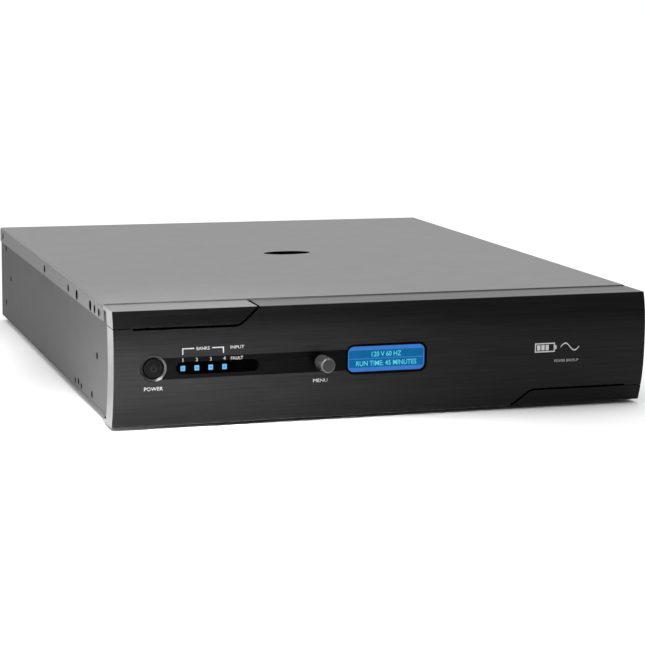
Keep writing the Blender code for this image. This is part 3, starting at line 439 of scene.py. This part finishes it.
def dress_cut_faces():
    """Colour some faces apart: the extrusion's cut ends are bare aluminium and the band is darker; its top
    faces get a painted sheen; the grooves, the cover's downward edges, the hole walls and the light pipes
    get near-black painted shade; the cover's side flanges and the knob's front face get darker copies of
    their own colour, painted shade.
    """
    half, top = PANEL_HIGH.x / MM, (PANEL_HIGH.z - BASE_Z) / MM
    band_low, band_high = (corner.z for corner in span("control_window"))
    band_depth = span("control_window")[0].y

    def in_groove(x, d, h, n):
        return abs(n.y) < 0.2 and 1 < h < top - 1 and abs(x) < half - 1

    def in_band(x, d, h, n):
        level = band_low - BAND_BELOW < h < band_high + BAND_ABOVE
        return n.y < -0.99 and abs(d - band_depth) < 0.15 and level

    # Grooves get near-black painted shade; top faces get a painted sheen, lighter than the face.
    for node, sheen_look in (("front_panel", "dark_top_sheen"), ("upper_left_trim", "light_top_sheen"),
                           ("lower_right_trim", "dark_top_sheen")):
        dress_faces(node, "painted_shade", in_groove)
        dress_faces(node, "cut_end", lambda x, d, h, n: abs(n.x) > 0.9 and abs(x) > half - NEAR)
        dress_faces(node, sheen_look, lambda x, d, h, n: n.z > 0.9 and h > top - NEAR)
    dress_faces("front_panel", "band", in_band)
    # The cover's side flanges are a darker copy of its grey, painted shade.
    dress_faces("top_cover", "shaded_flange", lambda x, d, h, n: abs(n.x) > 0.95 and abs(x) > half - NEAR)
    # The cover's downward edges are painted near-black for the shadow line under them.
    dress_faces("top_cover", "painted_shade", lambda x, d, h, n: n.z < -0.9 and h < top - 5)
    # The knob's front face is a darker copy of its metal, painted shade.
    dress_faces("menu_knob", "shaded_knob_tip", lambda x, d, h, n: n.y < -0.95)
    # Hole walls are painted near-black for the shade in the holes.
    for node, holes in (("top_cover", COVER_HOLES), ("left_side_panel", SIDE_HOLES + COVER_HOLES),
                        ("right_side_panel", SIDE_HOLES + COVER_HOLES)):
        dress_faces(node, "painted_shade", lambda x, d, h, n: abs(n.x) < 0.5 and any(
            math.hypot(d - hole_d, h - hole_h) < radius + HOLE_WALL for hole_d, hole_h, radius in holes))
    # The light pipes behind the smoked window are painted near-black as shade.
    dress_faces("control_board", "painted_shade", lambda x, d, h, n: d < LIGHT_PIPE_END)


# ---- piece building ----

def keep(name, bm, look, body="chassis"):
    """A finished piece from a bmesh in metres, with its faces turned outwards, riding on a body."""
    bmesh.ops.recalc_face_normals(bm, faces=bm.faces[:])
    mesh = bpy.data.meshes.new(name)
    bm.to_mesh(mesh)
    bm.free()
    piece = bpy.data.objects.new(name, mesh)
    bpy.context.scene.collection.objects.link(piece)
    mesh.materials.append(LOOKS[look])
    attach(piece, body)
    return piece


def smooth_by_angle(mesh, degrees=35.0):
    for face in mesh.polygons:
        face.use_smooth = True
    mesh.set_sharp_from_angle(angle=math.radians(degrees))


def rounded_outline(width, height, radius, steps=6):
    """A rectangle's outline with round corners, each of so many steps."""
    points = []
    for quarter, (side_x, side_y) in enumerate(((1, 1), (-1, 1), (-1, -1), (1, -1))):
        for step in range(steps + 1):
            angle = math.pi / 2 * (quarter + step / steps)
            points.append((side_x * (width / 2 - radius) + radius * math.cos(angle),
                           side_y * (height / 2 - radius) + radius * math.sin(angle)))
    return points


def plate(bm, outline, centre, front, back):
    """An (x, h) outline made a plate between two depths, all in millimetres."""
    rings = []
    for d in (front, back):
        rings.append([bm.verts.new(at(centre[0] + u, d, centre[1] + v)) for u, v in outline])
    bm.faces.new(rings[0])
    bm.faces.new(list(reversed(rings[1])))
    count = len(outline)
    for i in range(count):
        j = (i + 1) % count
        bm.faces.new((rings[0][j], rings[0][i], rings[1][i], rings[1][j]))


def ribbon(bm, rails):
    """Close four rails of points, in order round a bar's section, into the bar."""
    for i in range(len(rails[0]) - 1):
        for one, two in zip(rails, rails[1:] + rails[:1]):
            bm.faces.new((one[i], one[i + 1], two[i + 1], two[i]))
    for end in (0, -1):
        bm.faces.new([rail[end] for rail in rails])


CAPITAL_HEIGHT = 0.72  # the font's capitals, as a share of its size


def text_mesh(words, height, bold=0.0):
    """Text as a flat solid mesh in millimetres, centred on its middle, one unit thick."""
    data = bpy.data.curves.new("words", "FONT")
    data.body = words
    data.align_x = "CENTER"
    data.align_y = "CENTER"
    data.size = height / CAPITAL_HEIGHT
    data.offset = bold
    data.extrude = 0.5
    data.resolution_u = 3
    holder = bpy.data.objects.new("words", data)
    bpy.context.scene.collection.objects.link(holder)
    evaluated = holder.evaluated_get(bpy.context.evaluated_depsgraph_get())
    mesh = bpy.data.meshes.new_from_object(evaluated)
    bpy.data.objects.remove(holder)
    bpy.data.curves.remove(data)
    bm = bmesh.new()
    bm.from_mesh(mesh)
    bpy.data.meshes.remove(mesh)
    bmesh.ops.remove_doubles(bm, verts=bm.verts[:], dist=0.0005)
    xs = [v.co.x for v in bm.verts]
    ys = [v.co.y for v in bm.verts]
    shift = Vector((-(min(xs) + max(xs)) / 2, -(min(ys) + max(ys)) / 2, 0))
    bmesh.ops.translate(bm, vec=shift, verts=bm.verts[:])
    return bm


def width_factor(bm, width):
    """How much a flat mesh has to be stretched along x to get a width."""
    xs = [v.co.x for v in bm.verts]
    return width / (max(xs) - min(xs))


class Surface:
    """Finds how deep some nodes' surface lies, looking at them from the front or from the rear."""

    def __init__(self, *nodes, rear=False):
        self.way = -1 if rear else 1
        self.trees = []
        for name in nodes:
            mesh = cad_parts[name].data
            vertices = [v.co.copy() for v in mesh.vertices]
            self.trees.append(BVHTree.FromPolygons(vertices, [tuple(p.vertices) for p in mesh.polygons]))

    def depth(self, x, h):
        start = at(x, BEHIND if self.way < 0 else AHEAD, h)
        hits = [tree.ray_cast(start, Vector((0, self.way, 0)))[0] for tree in self.trees]
        depths = [(hit.y - FRONT_Y) / MM for hit in hits if hit is not None]
        return max(depths) if self.way < 0 else min(depths)


def print_on(surface, name, bm, centre, look, width=None):
    """Lay a flat mesh, made in millimetres about its middle, on a surface as printed ink.

    Ink on the rear is turned round, so that it reads from behind."""
    if width is not None:
        bmesh.ops.scale(bm, vec=(width_factor(bm, width), 1, 1), verts=bm.verts[:])
    for vertex in bm.verts:
        x, h = centre[0] + surface.way * vertex.co.x, centre[1] + vertex.co.y
        lift = PRINT[vertex.co.z > 0]
        vertex.co = at(x, surface.depth(x, h) - surface.way * lift, h)
    keep(name, bm, look)


def bars(*boxes):
    """Flat bars from (low u, low v, high u, high v) boxes, one unit thick."""
    bm = bmesh.new()
    for u0, v0, u1, v1 in boxes:
        matrix = Matrix.Translation(((u0 + u1) / 2, (v0 + v1) / 2, 0)) @ Matrix.Diagonal(
            (u1 - u0, v1 - v0, 1.0, 1.0))
        bmesh.ops.create_cube(bm, size=1.0, matrix=matrix)
    return bm


def bracket(half, gap, leg, line):
    """A bracket over a row, open in the middle for its word, with a leg at each end."""
    edge = line / 2
    leg_top = -edge - 0.02
    return bars((-half - edge, -edge, -gap, edge), (gap, -edge, half + edge, edge),
                (-half - edge, -leg, -half + edge, leg_top), (half - edge, -leg, half + edge, leg_top))


def spin(bm, profile, origin, out, sides=20):
    """Turn a (radius, distance along out) profile, in millimetres, about a line through a point."""
    out = Vector(out).normalized()
    side = out.orthogonal().normalized()
    up = out.cross(side)
    rings = []
    for radius, along in profile:
        centre = at(*origin) + out * (along * MM)
        if radius == 0:
            rings.append([bm.verts.new(centre)])
            continue
        angles = [2 * math.pi * i / sides for i in range(sides)]
        rings.append([bm.verts.new(centre + (side * math.cos(a) + up * math.sin(a)) * (radius * MM))
                      for a in angles])
    for one, two in zip(rings, rings[1:]):
        for i in range(sides):
            j = (i + 1) % sides
            corners = [one[i % len(one)], one[j % len(one)], two[j % len(two)], two[i % len(two)]]
            bm.faces.new(list(dict.fromkeys(corners)))


def disc_profile(radius, layer):
    near, far = layer
    return [(0, near), (radius, near), (radius, far), (0, far)]


def ring_profile(inner, outer, layer):
    near, far = layer
    return [(inner, near), (outer, near), (outer, far), (inner, far), (inner, near)]


# ---- holes and screws ----

# Holes in the sides as (d, h, radius): through the cover's flange, and through the side panel alone
COVER_HOLES = ((500, 82.0, 3.2), (274.8, 81.5, 3.4), (168, 80.7, 3.3), (132.5, 80.5, 4.2),
               (79.4, 80.4, 4.2), (63.1, 80.1, 3.3), (46.8, 80.0, 3.2))
SIDE_HOLES = ((490.5, 71.5, 2.7), (464.1, 45.5, 2.7), (493.1, 18.8, 2.7), (61.4, 44.1, 2.9),
              (148.4, 8.4, 2.5), (135.4, 9.8, 2.8), (123.6, 8.4, 2.5), (81.9, 9.8, 2.9))


def insert_profile(radius):
    """A threaded insert: a collar just below the surface, dark with painted shade, with a blind hole in it.
    """
    bore, collar = radius * 0.55, radius - 0.12
    face, hole_end, back = -0.3, -1.6, -2.2
    return [(0, hole_end), (bore, hole_end), (bore, face - 0.2), (bore + 0.3, face), (collar, face),
            (collar, back), (0, back)]


def screw_profile(radius, height):
    """A pan head with a socket in it."""
    socket, socket_end = radius * 0.42, height - 0.5
    return [(0, socket_end), (socket, socket_end), (socket, height), (radius * 0.75, height),
            (radius, height * 0.45), (radius, 0.0), (0, 0.0)]


def side_hardware():
    cover_reach, panel_reach = span("top_cover")[1].x, span("right_side_panel")[1].x
    for name, sign in (("left", -1), ("right", 1)):
        inserts = bmesh.new()
        for holes, reach in ((COVER_HOLES, cover_reach), (SIDE_HOLES, panel_reach)):
            for d, h, radius in holes:
                spin(inserts, insert_profile(radius), (sign * reach, d, h), (sign, 0, 0))
        # The inserts take the near-black painted shade, so the holes read dark.
        smooth_by_angle(keep(f"{name}_threaded_inserts", inserts, "painted_shade").data)


# ---- front: printing ----

BANKS = 4
LAMPS = BANKS + 1  # the last one is the fault lamp, which isn't lit
LAMP_START, LAMP_PITCH = 4.9, 10.65  # from the window's left end
NUMBER_HEIGHT, NUMBER_BOLD, NUMBER_LIFT = 2.7, 0.01, 6.3
# Words: name, text, letter height, boldness, width, what they belong to, and their place (x, h) from it
CONTROL_WORDS = (
    ("label_power", "POWER", 2.8, 0.0, 14.2, "button", (0.0, -15.3)),
    ("label_menu", "MENU", 2.8, 0.0, 11.4, "knob", (-0.6, -14.4)),
)
LAMP_WORDS = (
    ("label_banks", "BANKS", 2.4, 0.02, 10.0, "banks", (-0.7, 14.7)),
    ("label_input", "INPUT", 2.4, 0.02, 10.6, "fault", (-1.0, 14.6)),
    ("label_fault", "FAULT", 2.4, 0.02, 9.4, "fault", (-1.0, 6.2)),
)
BRACKET_PLACE = (-0.7, 14.9)
BRACKET_SHORT = 0.4  # how far its legs stand inside the outer lamps
BANK_BRACKET = (6.9, 4.4, 0.75)  # half its gap, its legs and its line


def lamp_places():
    """The x of each light pipe on the control board."""
    low, _ = span("control_window")
    return [low.x + LAMP_START + LAMP_PITCH * i for i in range(LAMPS)]


def front_printing():
    face = Surface("front_panel")
    button, knob = middle("power_button_cap"), middle("menu_knob")
    lamp_h = middle("control_window")[2]
    lamp_x = lamp_places()
    first, last, fault = lamp_x[0], lamp_x[BANKS - 1], lamp_x[BANKS]
    anchors = {"button": (button[0], button[2]), "knob": (knob[0], knob[2]),
               "banks": ((first + last) / 2, lamp_h), "fault": (fault, lamp_h)}

    def print_words(rows):
        for name, words, height, bold, width, anchor, (right, up) in rows:
            x, h = anchors[anchor]
            print_on(face, name, text_mesh(words, height, bold), (x + right, h + up), "white_ink", width)

    print_words(CONTROL_WORDS)
    for number, x in enumerate(lamp_x[:BANKS], 1):
        print_on(face, f"label_bank_{number}", text_mesh(str(number), NUMBER_HEIGHT, NUMBER_BOLD),
                 (x, lamp_h + NUMBER_LIFT), "white_ink")
    x, h = anchors["banks"]
    print_on(face, "bank_bracket", bracket((last - first) / 2 - BRACKET_SHORT, *BANK_BRACKET),
             (x + BRACKET_PLACE[0], h + BRACKET_PLACE[1]), "white_ink")
    print_words(LAMP_WORDS)
    emblem(face)
    power_mark(button)


MARK_RADII = (1.8, 2.3)
MARK_OPENING = math.radians(36)  # half the gap at the ring's top
MARK_BAR = (0.55, 2.2, 0.2)  # width, height and corner radius
MARK_BAR_LIFT = 1.5
MARK_LAYER = (0.02, 0.10)


def power_mark(button):
    """The usual standby mark, moulded faintly into the button: an open ring with a bar."""
    face = span("power_button_cap")[0].y
    (inner, outer), (near, far) = MARK_RADII, MARK_LAYER
    steps = 20
    angles = [math.pi / 2 + MARK_OPENING + (2 * math.pi - 2 * MARK_OPENING) * i / steps
              for i in range(steps + 1)]
    mark = bmesh.new()
    x, _, h = button
    rails = [[mark.verts.new(at(x + radius * math.cos(a), face - lift, h + radius * math.sin(a)))
              for a in angles]
             for radius, lift in ((inner, near), (inner, far), (outer, far), (outer, near))]
    ribbon(mark, rails)
    plate(mark, rounded_outline(*MARK_BAR, 3), (x, h + MARK_BAR_LIFT), face - far, face - near)
    keep("standby_mark", mark, "cap_mark", body="power_button")


EMBLEM_PLACE = (142.0, 2.4)  # from the middle of the display
BATTERY_SHIFT, WAVE_SHIFT = -10.0, 11.5
BACKUP_PLACE = (9.0, -11.0)  # the words, from the emblem
BACKUP_HEIGHT, BACKUP_WIDTH = 2.3, 20.5


def emblem(face):
    """A plain silver mark: a battery's outline with three cells in it, and a wave beside it."""
    lcd = middle("lcd_bezel")
    x, h = lcd[0] + EMBLEM_PLACE[0], lcd[2] + EMBLEM_PLACE[1]
    half_wide, half_tall, line = 8.5, 3.7, 0.9
    pole_near, pole_far, pole_half = 0.3, 1.5, 1.5
    cell_wide, cell_half = 2.7, 2.1
    battery = bars((-half_wide, -half_tall, half_wide, -half_tall + line),
                   (-half_wide, half_tall - line, half_wide, half_tall),
                   (-half_wide, -half_tall + line, -half_wide + line, half_tall - line),
                   (half_wide - line, -half_tall + line, half_wide, half_tall - line),
                   (half_wide + pole_near, -pole_half, half_wide + pole_far, pole_half),
                   *((u, -cell_half, u + cell_wide, cell_half) for u in (-6.6, -3.0, 0.6)))
    print_on(face, "emblem_battery", battery, (x + BATTERY_SHIFT, h), "silver_ink")

    wave = bmesh.new()
    steps, long, tall, half_line = 24, 16.0, 2.9, 0.5
    rails = [[wave.verts.new((long * i / steps - long / 2,
                              tall * math.sin(2 * math.pi * i / steps) + side * half_line, z))
              for i in range(steps + 1)]
             for side, z in ((-1, -0.5), (-1, 0.5), (1, 0.5), (1, -0.5))]
    ribbon(wave, rails)
    print_on(face, "emblem_wave", wave, (x + WAVE_SHIFT, h), "silver_ink")
    print_on(face, "label_rating", text_mesh("POWER BACKUP", BACKUP_HEIGHT),
             (x + BACKUP_PLACE[0], h + BACKUP_PLACE[1]), "white_ink", BACKUP_WIDTH)


# ---- front: lamps and display ----

# Width, height and corner radius of each
LENS, LENS_CORE = (3.5, 3.9, 0.35), (1.3, 1.4, 0.3)
GLASS, GLASS_ROW = (62.1, 19.5, 4.7), (60.4, 6.3, 0.4)
DISPLAY_LAYER = 0.06
# Lines of the display: name, text, width, and height over its middle
DISPLAY_LINES = (
    ("lcd_text_upper", "120 V 60 HZ", 24.0, 3.5),
    ("lcd_text_lower", "RUN TIME: 45 MINUTES", 49.0, -3.5),
)
DISPLAY_LETTER, DISPLAY_BOLD = 3.9, 0.04
DISPLAY_INK = (0.13, 0.16)


def lamps():
    """A lens over each light pipe, and a brighter core on the lit ones."""
    h = middle("control_window")[2]
    front = span("control_window")[0].y - 0.12
    for number, x in enumerate(lamp_places(), 1):
        lens = bmesh.new()
        plate(lens, rounded_outline(*LENS, 3), (x, h), front, front + 0.1)
        if number > BANKS:
            keep(f"lamp_lens_{number}", lens, "window")
            continue
        keep(f"lamp_lens_{number}", lens, "lamp")
        core = bmesh.new()
        plate(core, rounded_outline(*LENS_CORE, 3), (x, h), front - 0.03, front)
        keep(f"lamp_core_{number}", core, "lamp_core")


def display():
    """The lit glass, its two rows and their text, each just in front of the last."""
    glass = span("lcd_module")[0].y
    x, _, h = middle("lcd_bezel")
    slabs = (("lcd_backlight", "lcd_border", rounded_outline(*GLASS, 8), h, DISPLAY_LAYER),
             ("lcd_row_upper", "lcd_row", rounded_outline(*GLASS_ROW, 2), h + 3.6, 2 * DISPLAY_LAYER),
             ("lcd_row_lower", "lcd_row", rounded_outline(*GLASS_ROW, 2), h - 3.4, 2 * DISPLAY_LAYER))
    for name, look, outline, height, lift in slabs:
        slab = bmesh.new()
        plate(slab, outline, (x, height), glass - lift, glass - lift + DISPLAY_LAYER)
        keep(name, slab, look)
    for name, words, width, up in DISPLAY_LINES:
        ink = text_mesh(words, DISPLAY_LETTER, DISPLAY_BOLD)
        factor = width_factor(ink, width)
        for vertex in ink.verts:
            d = glass - DISPLAY_INK[vertex.co.z > 0]
            vertex.co = at(x + vertex.co.x * factor, d, h + up + vertex.co.y)
        keep(name, ink, "lcd_text")


# ---- rear: printing, screws and contacts ----

BACK = (0, 1, 0)
REAR_PANELS = ("rear_panel_ports", "rear_panel_outlets", "rear_panel_inlet")
DATA_PORT = (-176.0, 53.0)  # x and h
SERIAL_PORT_H = 68.5
SERIAL_SHIFT = -4.0  # from the middle of communication_ports
SERIAL_WORD_H, PORT_WORD_H = 79.3, 44.0
BANK_WORD_LIFT = 18.2
OUTLET_BRACKET = (34.7, 13.0, 2.6, 0.6)  # half its length, half its gap, its legs and its line
WORD, SMALL_WORD = 3.0, 2.6


def rear_printing():
    panel = Surface(*REAR_PANELS, rear=True)
    for number in range(1, BANKS + 1):
        x, _, h = middle(f"outlet_bank_{number}")
        print_on(panel, f"label_outlets_{number}", text_mesh(f"BANK {number}", WORD),
                 (x, h + BANK_WORD_LIFT), "rear_ink")
        print_on(panel, f"outlet_bracket_{number}", bracket(*OUTLET_BRACKET), (x, h + BANK_WORD_LIFT),
                 "rear_ink")
    inlet, breaker = middle("inlet_housing"), middle("breaker_button")
    serial, network = middle("communication_ports"), middle("network_port")
    positive, negative = middle("battery_connector_positive"), middle("battery_connector_negative")
    between_poles = (positive[0] + negative[0]) / 2
    # Name, text, letter height, centre and width of each word
    words = (
        ("label_mains_input", "INPUT", 3.2, (inlet[0], inlet[2] + 18.6), None),
        ("label_reset", "RESET", WORD, (breaker[0], breaker[2] + 12.0), None),
        ("label_serial", "SERIAL", 2.8, (serial[0] + SERIAL_SHIFT, SERIAL_WORD_H), None),
        ("label_data", "DATA", SMALL_WORD, (DATA_PORT[0], PORT_WORD_H), None),
        ("label_network", "NETWORK", SMALL_WORD, (network[0] + 1.0, PORT_WORD_H), None),
        ("label_external", "EXTERNAL BATTERY", SMALL_WORD, (between_poles, positive[2] - 13.6), None),
        ("label_positive", "+", SMALL_WORD, (positive[0] - 12.6, positive[2]), None),
        ("label_negative", "-", 0.5, (negative[0] + 12.6, negative[2]), 2.4),
    )
    for name, text, height, centre, width in words:
        print_on(panel, name, text_mesh(text, height), centre, "rear_ink", width)
    ground = middle("ground_terminal")
    symbol = bars((-0.3, 0.4, 0.3, 3.0), (-2.6, -0.1, 2.6, 0.38), (-1.7, -1.1, 1.7, -0.6),
                  (-0.8, -2.1, 0.8, -1.6))
    print_on(panel, "ground_symbol", symbol, (ground[0], ground[2] + 9.5), "rear_ink")


RATING_FILM = (22.0, 52.0, 1.5)  # width, height and corner radius
RATING_ROWS = ("UNINTERRUPTIBLE", "POWER SUPPLY", "INPUT", "120 V  60 HZ", "OUTPUT", "120 V  60 HZ",
               "BATTERY", "48 V")
RATING_LETTER, RATING_START, RATING_PITCH = 1.5, 21.0, 4.9
# The bar pattern: how many, their possible widths, the gap between two, their height and their place
BAR_COUNT, BAR_WIDTHS, BAR_GAP, BAR_TALL = 15, (0.3, 0.5, 0.8), 0.65, 4.2
BAR_START, BAR_DROP = -8.5, 22.0


def rating_label():
    """A film label between the fan and the outlets, with generic ratings on it."""
    fan, bank = span("fan_guard"), span("outlet_bank_2")
    x, h = (fan[1].x + bank[0].x) / 2, middle("fan_guard")[2]
    face = Surface("rear_panel_outlets", rear=True).depth(x, h)
    film = bmesh.new()
    plate(film, rounded_outline(*RATING_FILM), (x, h), face + FILM[0], face + FILM[1])
    keep("rating_label", film, "label_film")
    for number, words in enumerate(RATING_ROWS):
        ink = text_mesh(words, RATING_LETTER)
        row_h = h + RATING_START - RATING_PITCH * number
        for vertex in ink.verts:
            lift = FILM_INK[vertex.co.z > 0]
            vertex.co = at(x - vertex.co.x, face + lift, row_h + vertex.co.y)
        keep(f"rating_row_{number + 1}", ink, "label_ink")
    stripes = bmesh.new()
    widths = [random.choice(BAR_WIDTHS) for _ in range(BAR_COUNT)]
    offset = BAR_START
    for width in widths:
        plate(stripes, rounded_outline(width, BAR_TALL, 0.05, 1), (x - offset, h - BAR_DROP),
              face + FILM_INK[0], face + FILM_INK[1])
        offset += width + BAR_GAP
    keep("rating_bars", stripes, "label_ink")


# How far the panel screws stand from the unit's sides, its top and bottom, and each side of a seam
SCREW_SIDE, SCREW_END, SCREW_SEAM, SCREW_PAST_PORTS, SCREW_PAST_OUTLETS = 6.0, 5.0, 3.6, 4.0, 4.2
NUT_INNER, NUT_OUTER, NUT_HIGH = 6.4, 8.6, 2.0
NUT_PROFILE = [(NUT_INNER, 0.0), (NUT_OUTER, 0.0), (NUT_OUTER, NUT_HIGH - 0.6), (NUT_OUTER - 0.6, NUT_HIGH),
               (NUT_INNER, NUT_HIGH), (NUT_INNER, 0.0)]


def rear_screws():
    """Panel screws at the corners and along the seams, and those of the guard, outlets and inlet."""
    panel = Surface(*REAR_PANELS, rear=True)
    ports, inlet = span("rear_panel_ports"), span("rear_panel_inlet")
    columns = (ports[0].x + SCREW_SIDE, ports[1].x - SCREW_SEAM, ports[1].x + SCREW_PAST_PORTS,
               inlet[0].x - SCREW_SEAM, inlet[0].x + SCREW_PAST_OUTLETS, inlet[1].x - SCREW_SIDE)
    screws = bmesh.new()
    for x in columns:
        for h in (ports[0].z + SCREW_END, ports[1].z - SCREW_END):
            spin(screws, screw_profile(2.6, 1.0), (x, panel.depth(x, h), h), BACK)
    smooth_by_angle(keep("rear_panel_screws", screws, "screw").data)

    fan, guard_end = middle("fan_guard"), span("fan_guard")[1]
    reach = (guard_end.x - fan[0]) - 1.2
    guard = bmesh.new()
    for side in (-1, 1):
        for up in (-1, 1):
            place = (fan[0] + side * reach, guard_end.y, fan[2] + up * reach)
            spin(guard, screw_profile(3.0, 1.2), place, BACK)
    smooth_by_angle(keep("fan_guard_screws", guard, "steel").data)

    outlets = bmesh.new()
    for number in range(1, BANKS + 1):
        x, _, h = middle(f"outlet_bank_{number}")
        spin(outlets, screw_profile(2.6, 0.9), (x, panel.depth(x, h), h), BACK)
    smooth_by_angle(keep("outlet_screws", outlets, "steel").data)

    low, high = span("inlet_housing")
    x, _, h = middle("inlet_housing")
    half_pitch = (high.x - low.x - 7.0) / 2
    collar = bmesh.new()
    for side in (-1, 1):
        spin(collar, screw_profile(2.2, 0.6), (x + side * half_pitch, high.y - 0.1, h), BACK)
    smooth_by_angle(keep("inlet_screws", collar, "steel").data)

    x, _, h = middle("breaker_button")
    beside = x + 12  # where the panel shows beside the button
    nut = bmesh.new()
    spin(nut, NUT_PROFILE, (x, panel.depth(beside, h), h), BACK, sides=6)
    keep("breaker_nut", nut, "plastic")
    ring = bmesh.new()
    spin(ring, ring_profile(1.7, 2.3, PRINT), (x, span("breaker_button")[1].y, h), BACK)
    keep("breaker_button_ring", ring, "rear_ink", body="breaker_reset")


# The serial port: width, height and slope of its shell and insert, its rows of pins, and its posts
SERIAL_SHELL, SERIAL_INSERT = (18.6, 9.6, 1.6), (17.2, 8.2, 1.5)
SHELL_HIGH, INSERT_HIGH = 1.4, 1.5
PIN_PITCH, PIN_ROWS = 2.7, ((1.4, 5), (-1.4, 4))  # each row's height over the middle, and its pins
PIN_PROFILE = [(0, 0.0), (0.5, 0.0), (0.5, 0.5), (0.3, 0.7), (0, 0.7)]
POST_REACH = 12.6
POST_PROFILE = [(0, 0.9), (1.0, 0.9), (1.0, 2.2), (2.4, 2.2), (2.4, 0.0), (0, 0.0)]
# Contacts: how many, their pitch, and the outline of one
DATA_CONTACTS, DATA_PITCH, DATA_CONTACT = 4, 1.1, (0.6, 1.8, 0.1)
NETWORK_CONTACTS, NETWORK_PITCH, NETWORK_CONTACT = 8, 1.15, (0.5, 1.8, 0.1)
NETWORK_LAMP = (1.5, 1.0, 0.2)
BATTERY_CONTACT = (7.0, 2.4, 0.4)


def dee(wide, tall, slope):
    """The outline of a serial connector, wider at its top."""
    return [(-wide / 2 + slope, -tall / 2), (wide / 2 - slope, -tall / 2), (wide / 2, tall / 2),
            (-wide / 2, tall / 2)]


def serial_port(centre, face):
    shell, insert, pins, posts = (bmesh.new() for _ in range(4))
    plate(shell, dee(*SERIAL_SHELL), centre, face, face + SHELL_HIGH)
    keep("serial_shell", shell, "steel")
    plate(insert, dee(*SERIAL_INSERT), centre, face + SHELL_HIGH + 0.01, face + INSERT_HIGH)
    keep("serial_insert", insert, "port_blue")
    for row, count in PIN_ROWS:
        for number in range(count):
            x = centre[0] + PIN_PITCH * (number - (count - 1) / 2)
            spin(pins, PIN_PROFILE, (x, face + INSERT_HIGH, centre[1] + row), BACK, 10)
    smooth_by_angle(keep("serial_pins", pins, "gold").data)
    for side in (-1, 1):
        spin(posts, POST_PROFILE, (centre[0] + side * POST_REACH, face, centre[1]), BACK, 6)
    keep("serial_posts", posts, "steel")


def port_details():
    """Pins, contacts and lamps of the serial, data, network and battery connectors."""
    low, high = span("communication_ports")
    surface = Surface("communication_ports", rear=True)
    centre = ((low.x + high.x) / 2 + SERIAL_SHIFT, SERIAL_PORT_H)
    serial_port(centre, surface.depth(*centre))

    contacts = bmesh.new()
    face = surface.depth(*DATA_PORT)
    for number in range(DATA_CONTACTS):
        x = DATA_PORT[0] + DATA_PITCH * (number - (DATA_CONTACTS - 1) / 2)
        plate(contacts, rounded_outline(*DATA_CONTACT, 1), (x, DATA_PORT[1]), face + 0.02, face + 0.15)
    keep("data_contacts", contacts, "gold")

    middle_x, _, h = middle("network_port")
    mouth = span("network_port")[1].y
    wires = bmesh.new()
    for number in range(NETWORK_CONTACTS):
        x = middle_x + NETWORK_PITCH * (number - (NETWORK_CONTACTS - 1) / 2)
        plate(wires, rounded_outline(*NETWORK_CONTACT, 1), (x, h + 2.4), mouth - 9.0, mouth - 4.0)
    keep("network_contacts", wires, "gold")
    for side, look in ((-1, "green_lamp"), (1, "amber_lamp")):
        lamp = bmesh.new()
        plate(lamp, rounded_outline(*NETWORK_LAMP, 2), (middle_x + side * 7.0, h - 4.7),
              mouth + 0.02, mouth + 0.2)
        keep(f"network_{look}", lamp, look)

    for pole in ("positive", "negative"):
        low, high = span(f"battery_connector_{pole}")
        x, h = (low.x + high.x) / 2, (low.z + high.z) / 2
        blade = bmesh.new()
        plate(blade, rounded_outline(*BATTERY_CONTACT, 3), (x, h), high.y - 11.9, high.y - 3.0)
        keep(f"battery_contact_{pole}", blade, "steel")


HUB_LABEL, HUB_RING = 12.5, (10.2, 11.0)  # radii
ARROW_HALF, ARROW_NECK, SHAFT_HALF, HEAD_HALF = 5.0, 1.5, 0.6, 2.0
HUB_ARROW = [(-ARROW_HALF, -SHAFT_HALF), (ARROW_NECK, -SHAFT_HALF), (ARROW_NECK, -HEAD_HALF),
             (ARROW_HALF, 0.0), (ARROW_NECK, HEAD_HALF), (ARROW_NECK, SHAFT_HALF),
             (-ARROW_HALF, SHAFT_HALF)]


def fan_label():
    """A round film label on the hub, turning with the fan."""
    x, _, h = middle("fan_impeller")
    hub = span("fan_impeller")[1].y
    label, ring, arrow = (bmesh.new() for _ in range(3))
    spin(label, disc_profile(HUB_LABEL, FILM), (x, hub, h), BACK, 32)
    keep("fan_hub_label", label, "label_film", body="cooling_fan")
    spin(ring, ring_profile(*HUB_RING, FILM_INK), (x, hub, h), BACK, 32)
    keep("fan_hub_ring", ring, "label_ink", body="cooling_fan")
    plate(arrow, HUB_ARROW, (x, h), hub + FILM_INK[0], hub + FILM_INK[1])
    keep("fan_hub_arrow", arrow, "label_ink", body="cooling_fan")


BATTERIES = 4
BATTERY_SCREW, TRANSFORMER_SCREW = 16.0, 8.0  # in from the edges of what they hold


def underside():
    """Screw heads under the tray, below the batteries and the transformer's corners."""
    places = []
    for number in range(1, BATTERIES + 1):
        low, high = span(f"battery_{number}")
        places += [((low.x + high.x) / 2, d) for d in (low.y + BATTERY_SCREW, high.y - BATTERY_SCREW)]
    low, high = span("transformer_core")
    places += [(x, d) for x in (low.x + TRANSFORMER_SCREW, high.x - TRANSFORMER_SCREW)
               for d in (low.y + TRANSFORMER_SCREW, high.y - TRANSFORMER_SCREW)]
    tray_low = span("bottom_tray")[0].z
    screws = bmesh.new()
    for x, d in places:
        spin(screws, screw_profile(3.4, 1.1), (x, d, tray_low), (0, 0, -1))
    smooth_by_angle(keep("underside_screws", screws, "screw").data)


make_camera()
make_stage()
dress_nodes()
dress_cut_faces()
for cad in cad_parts.values():
    smooth_by_angle(cad.data)
front_printing()
lamps()
display()
side_hardware()
rear_printing()
rating_label()
rear_screws()
port_details()
fan_label()
underside()
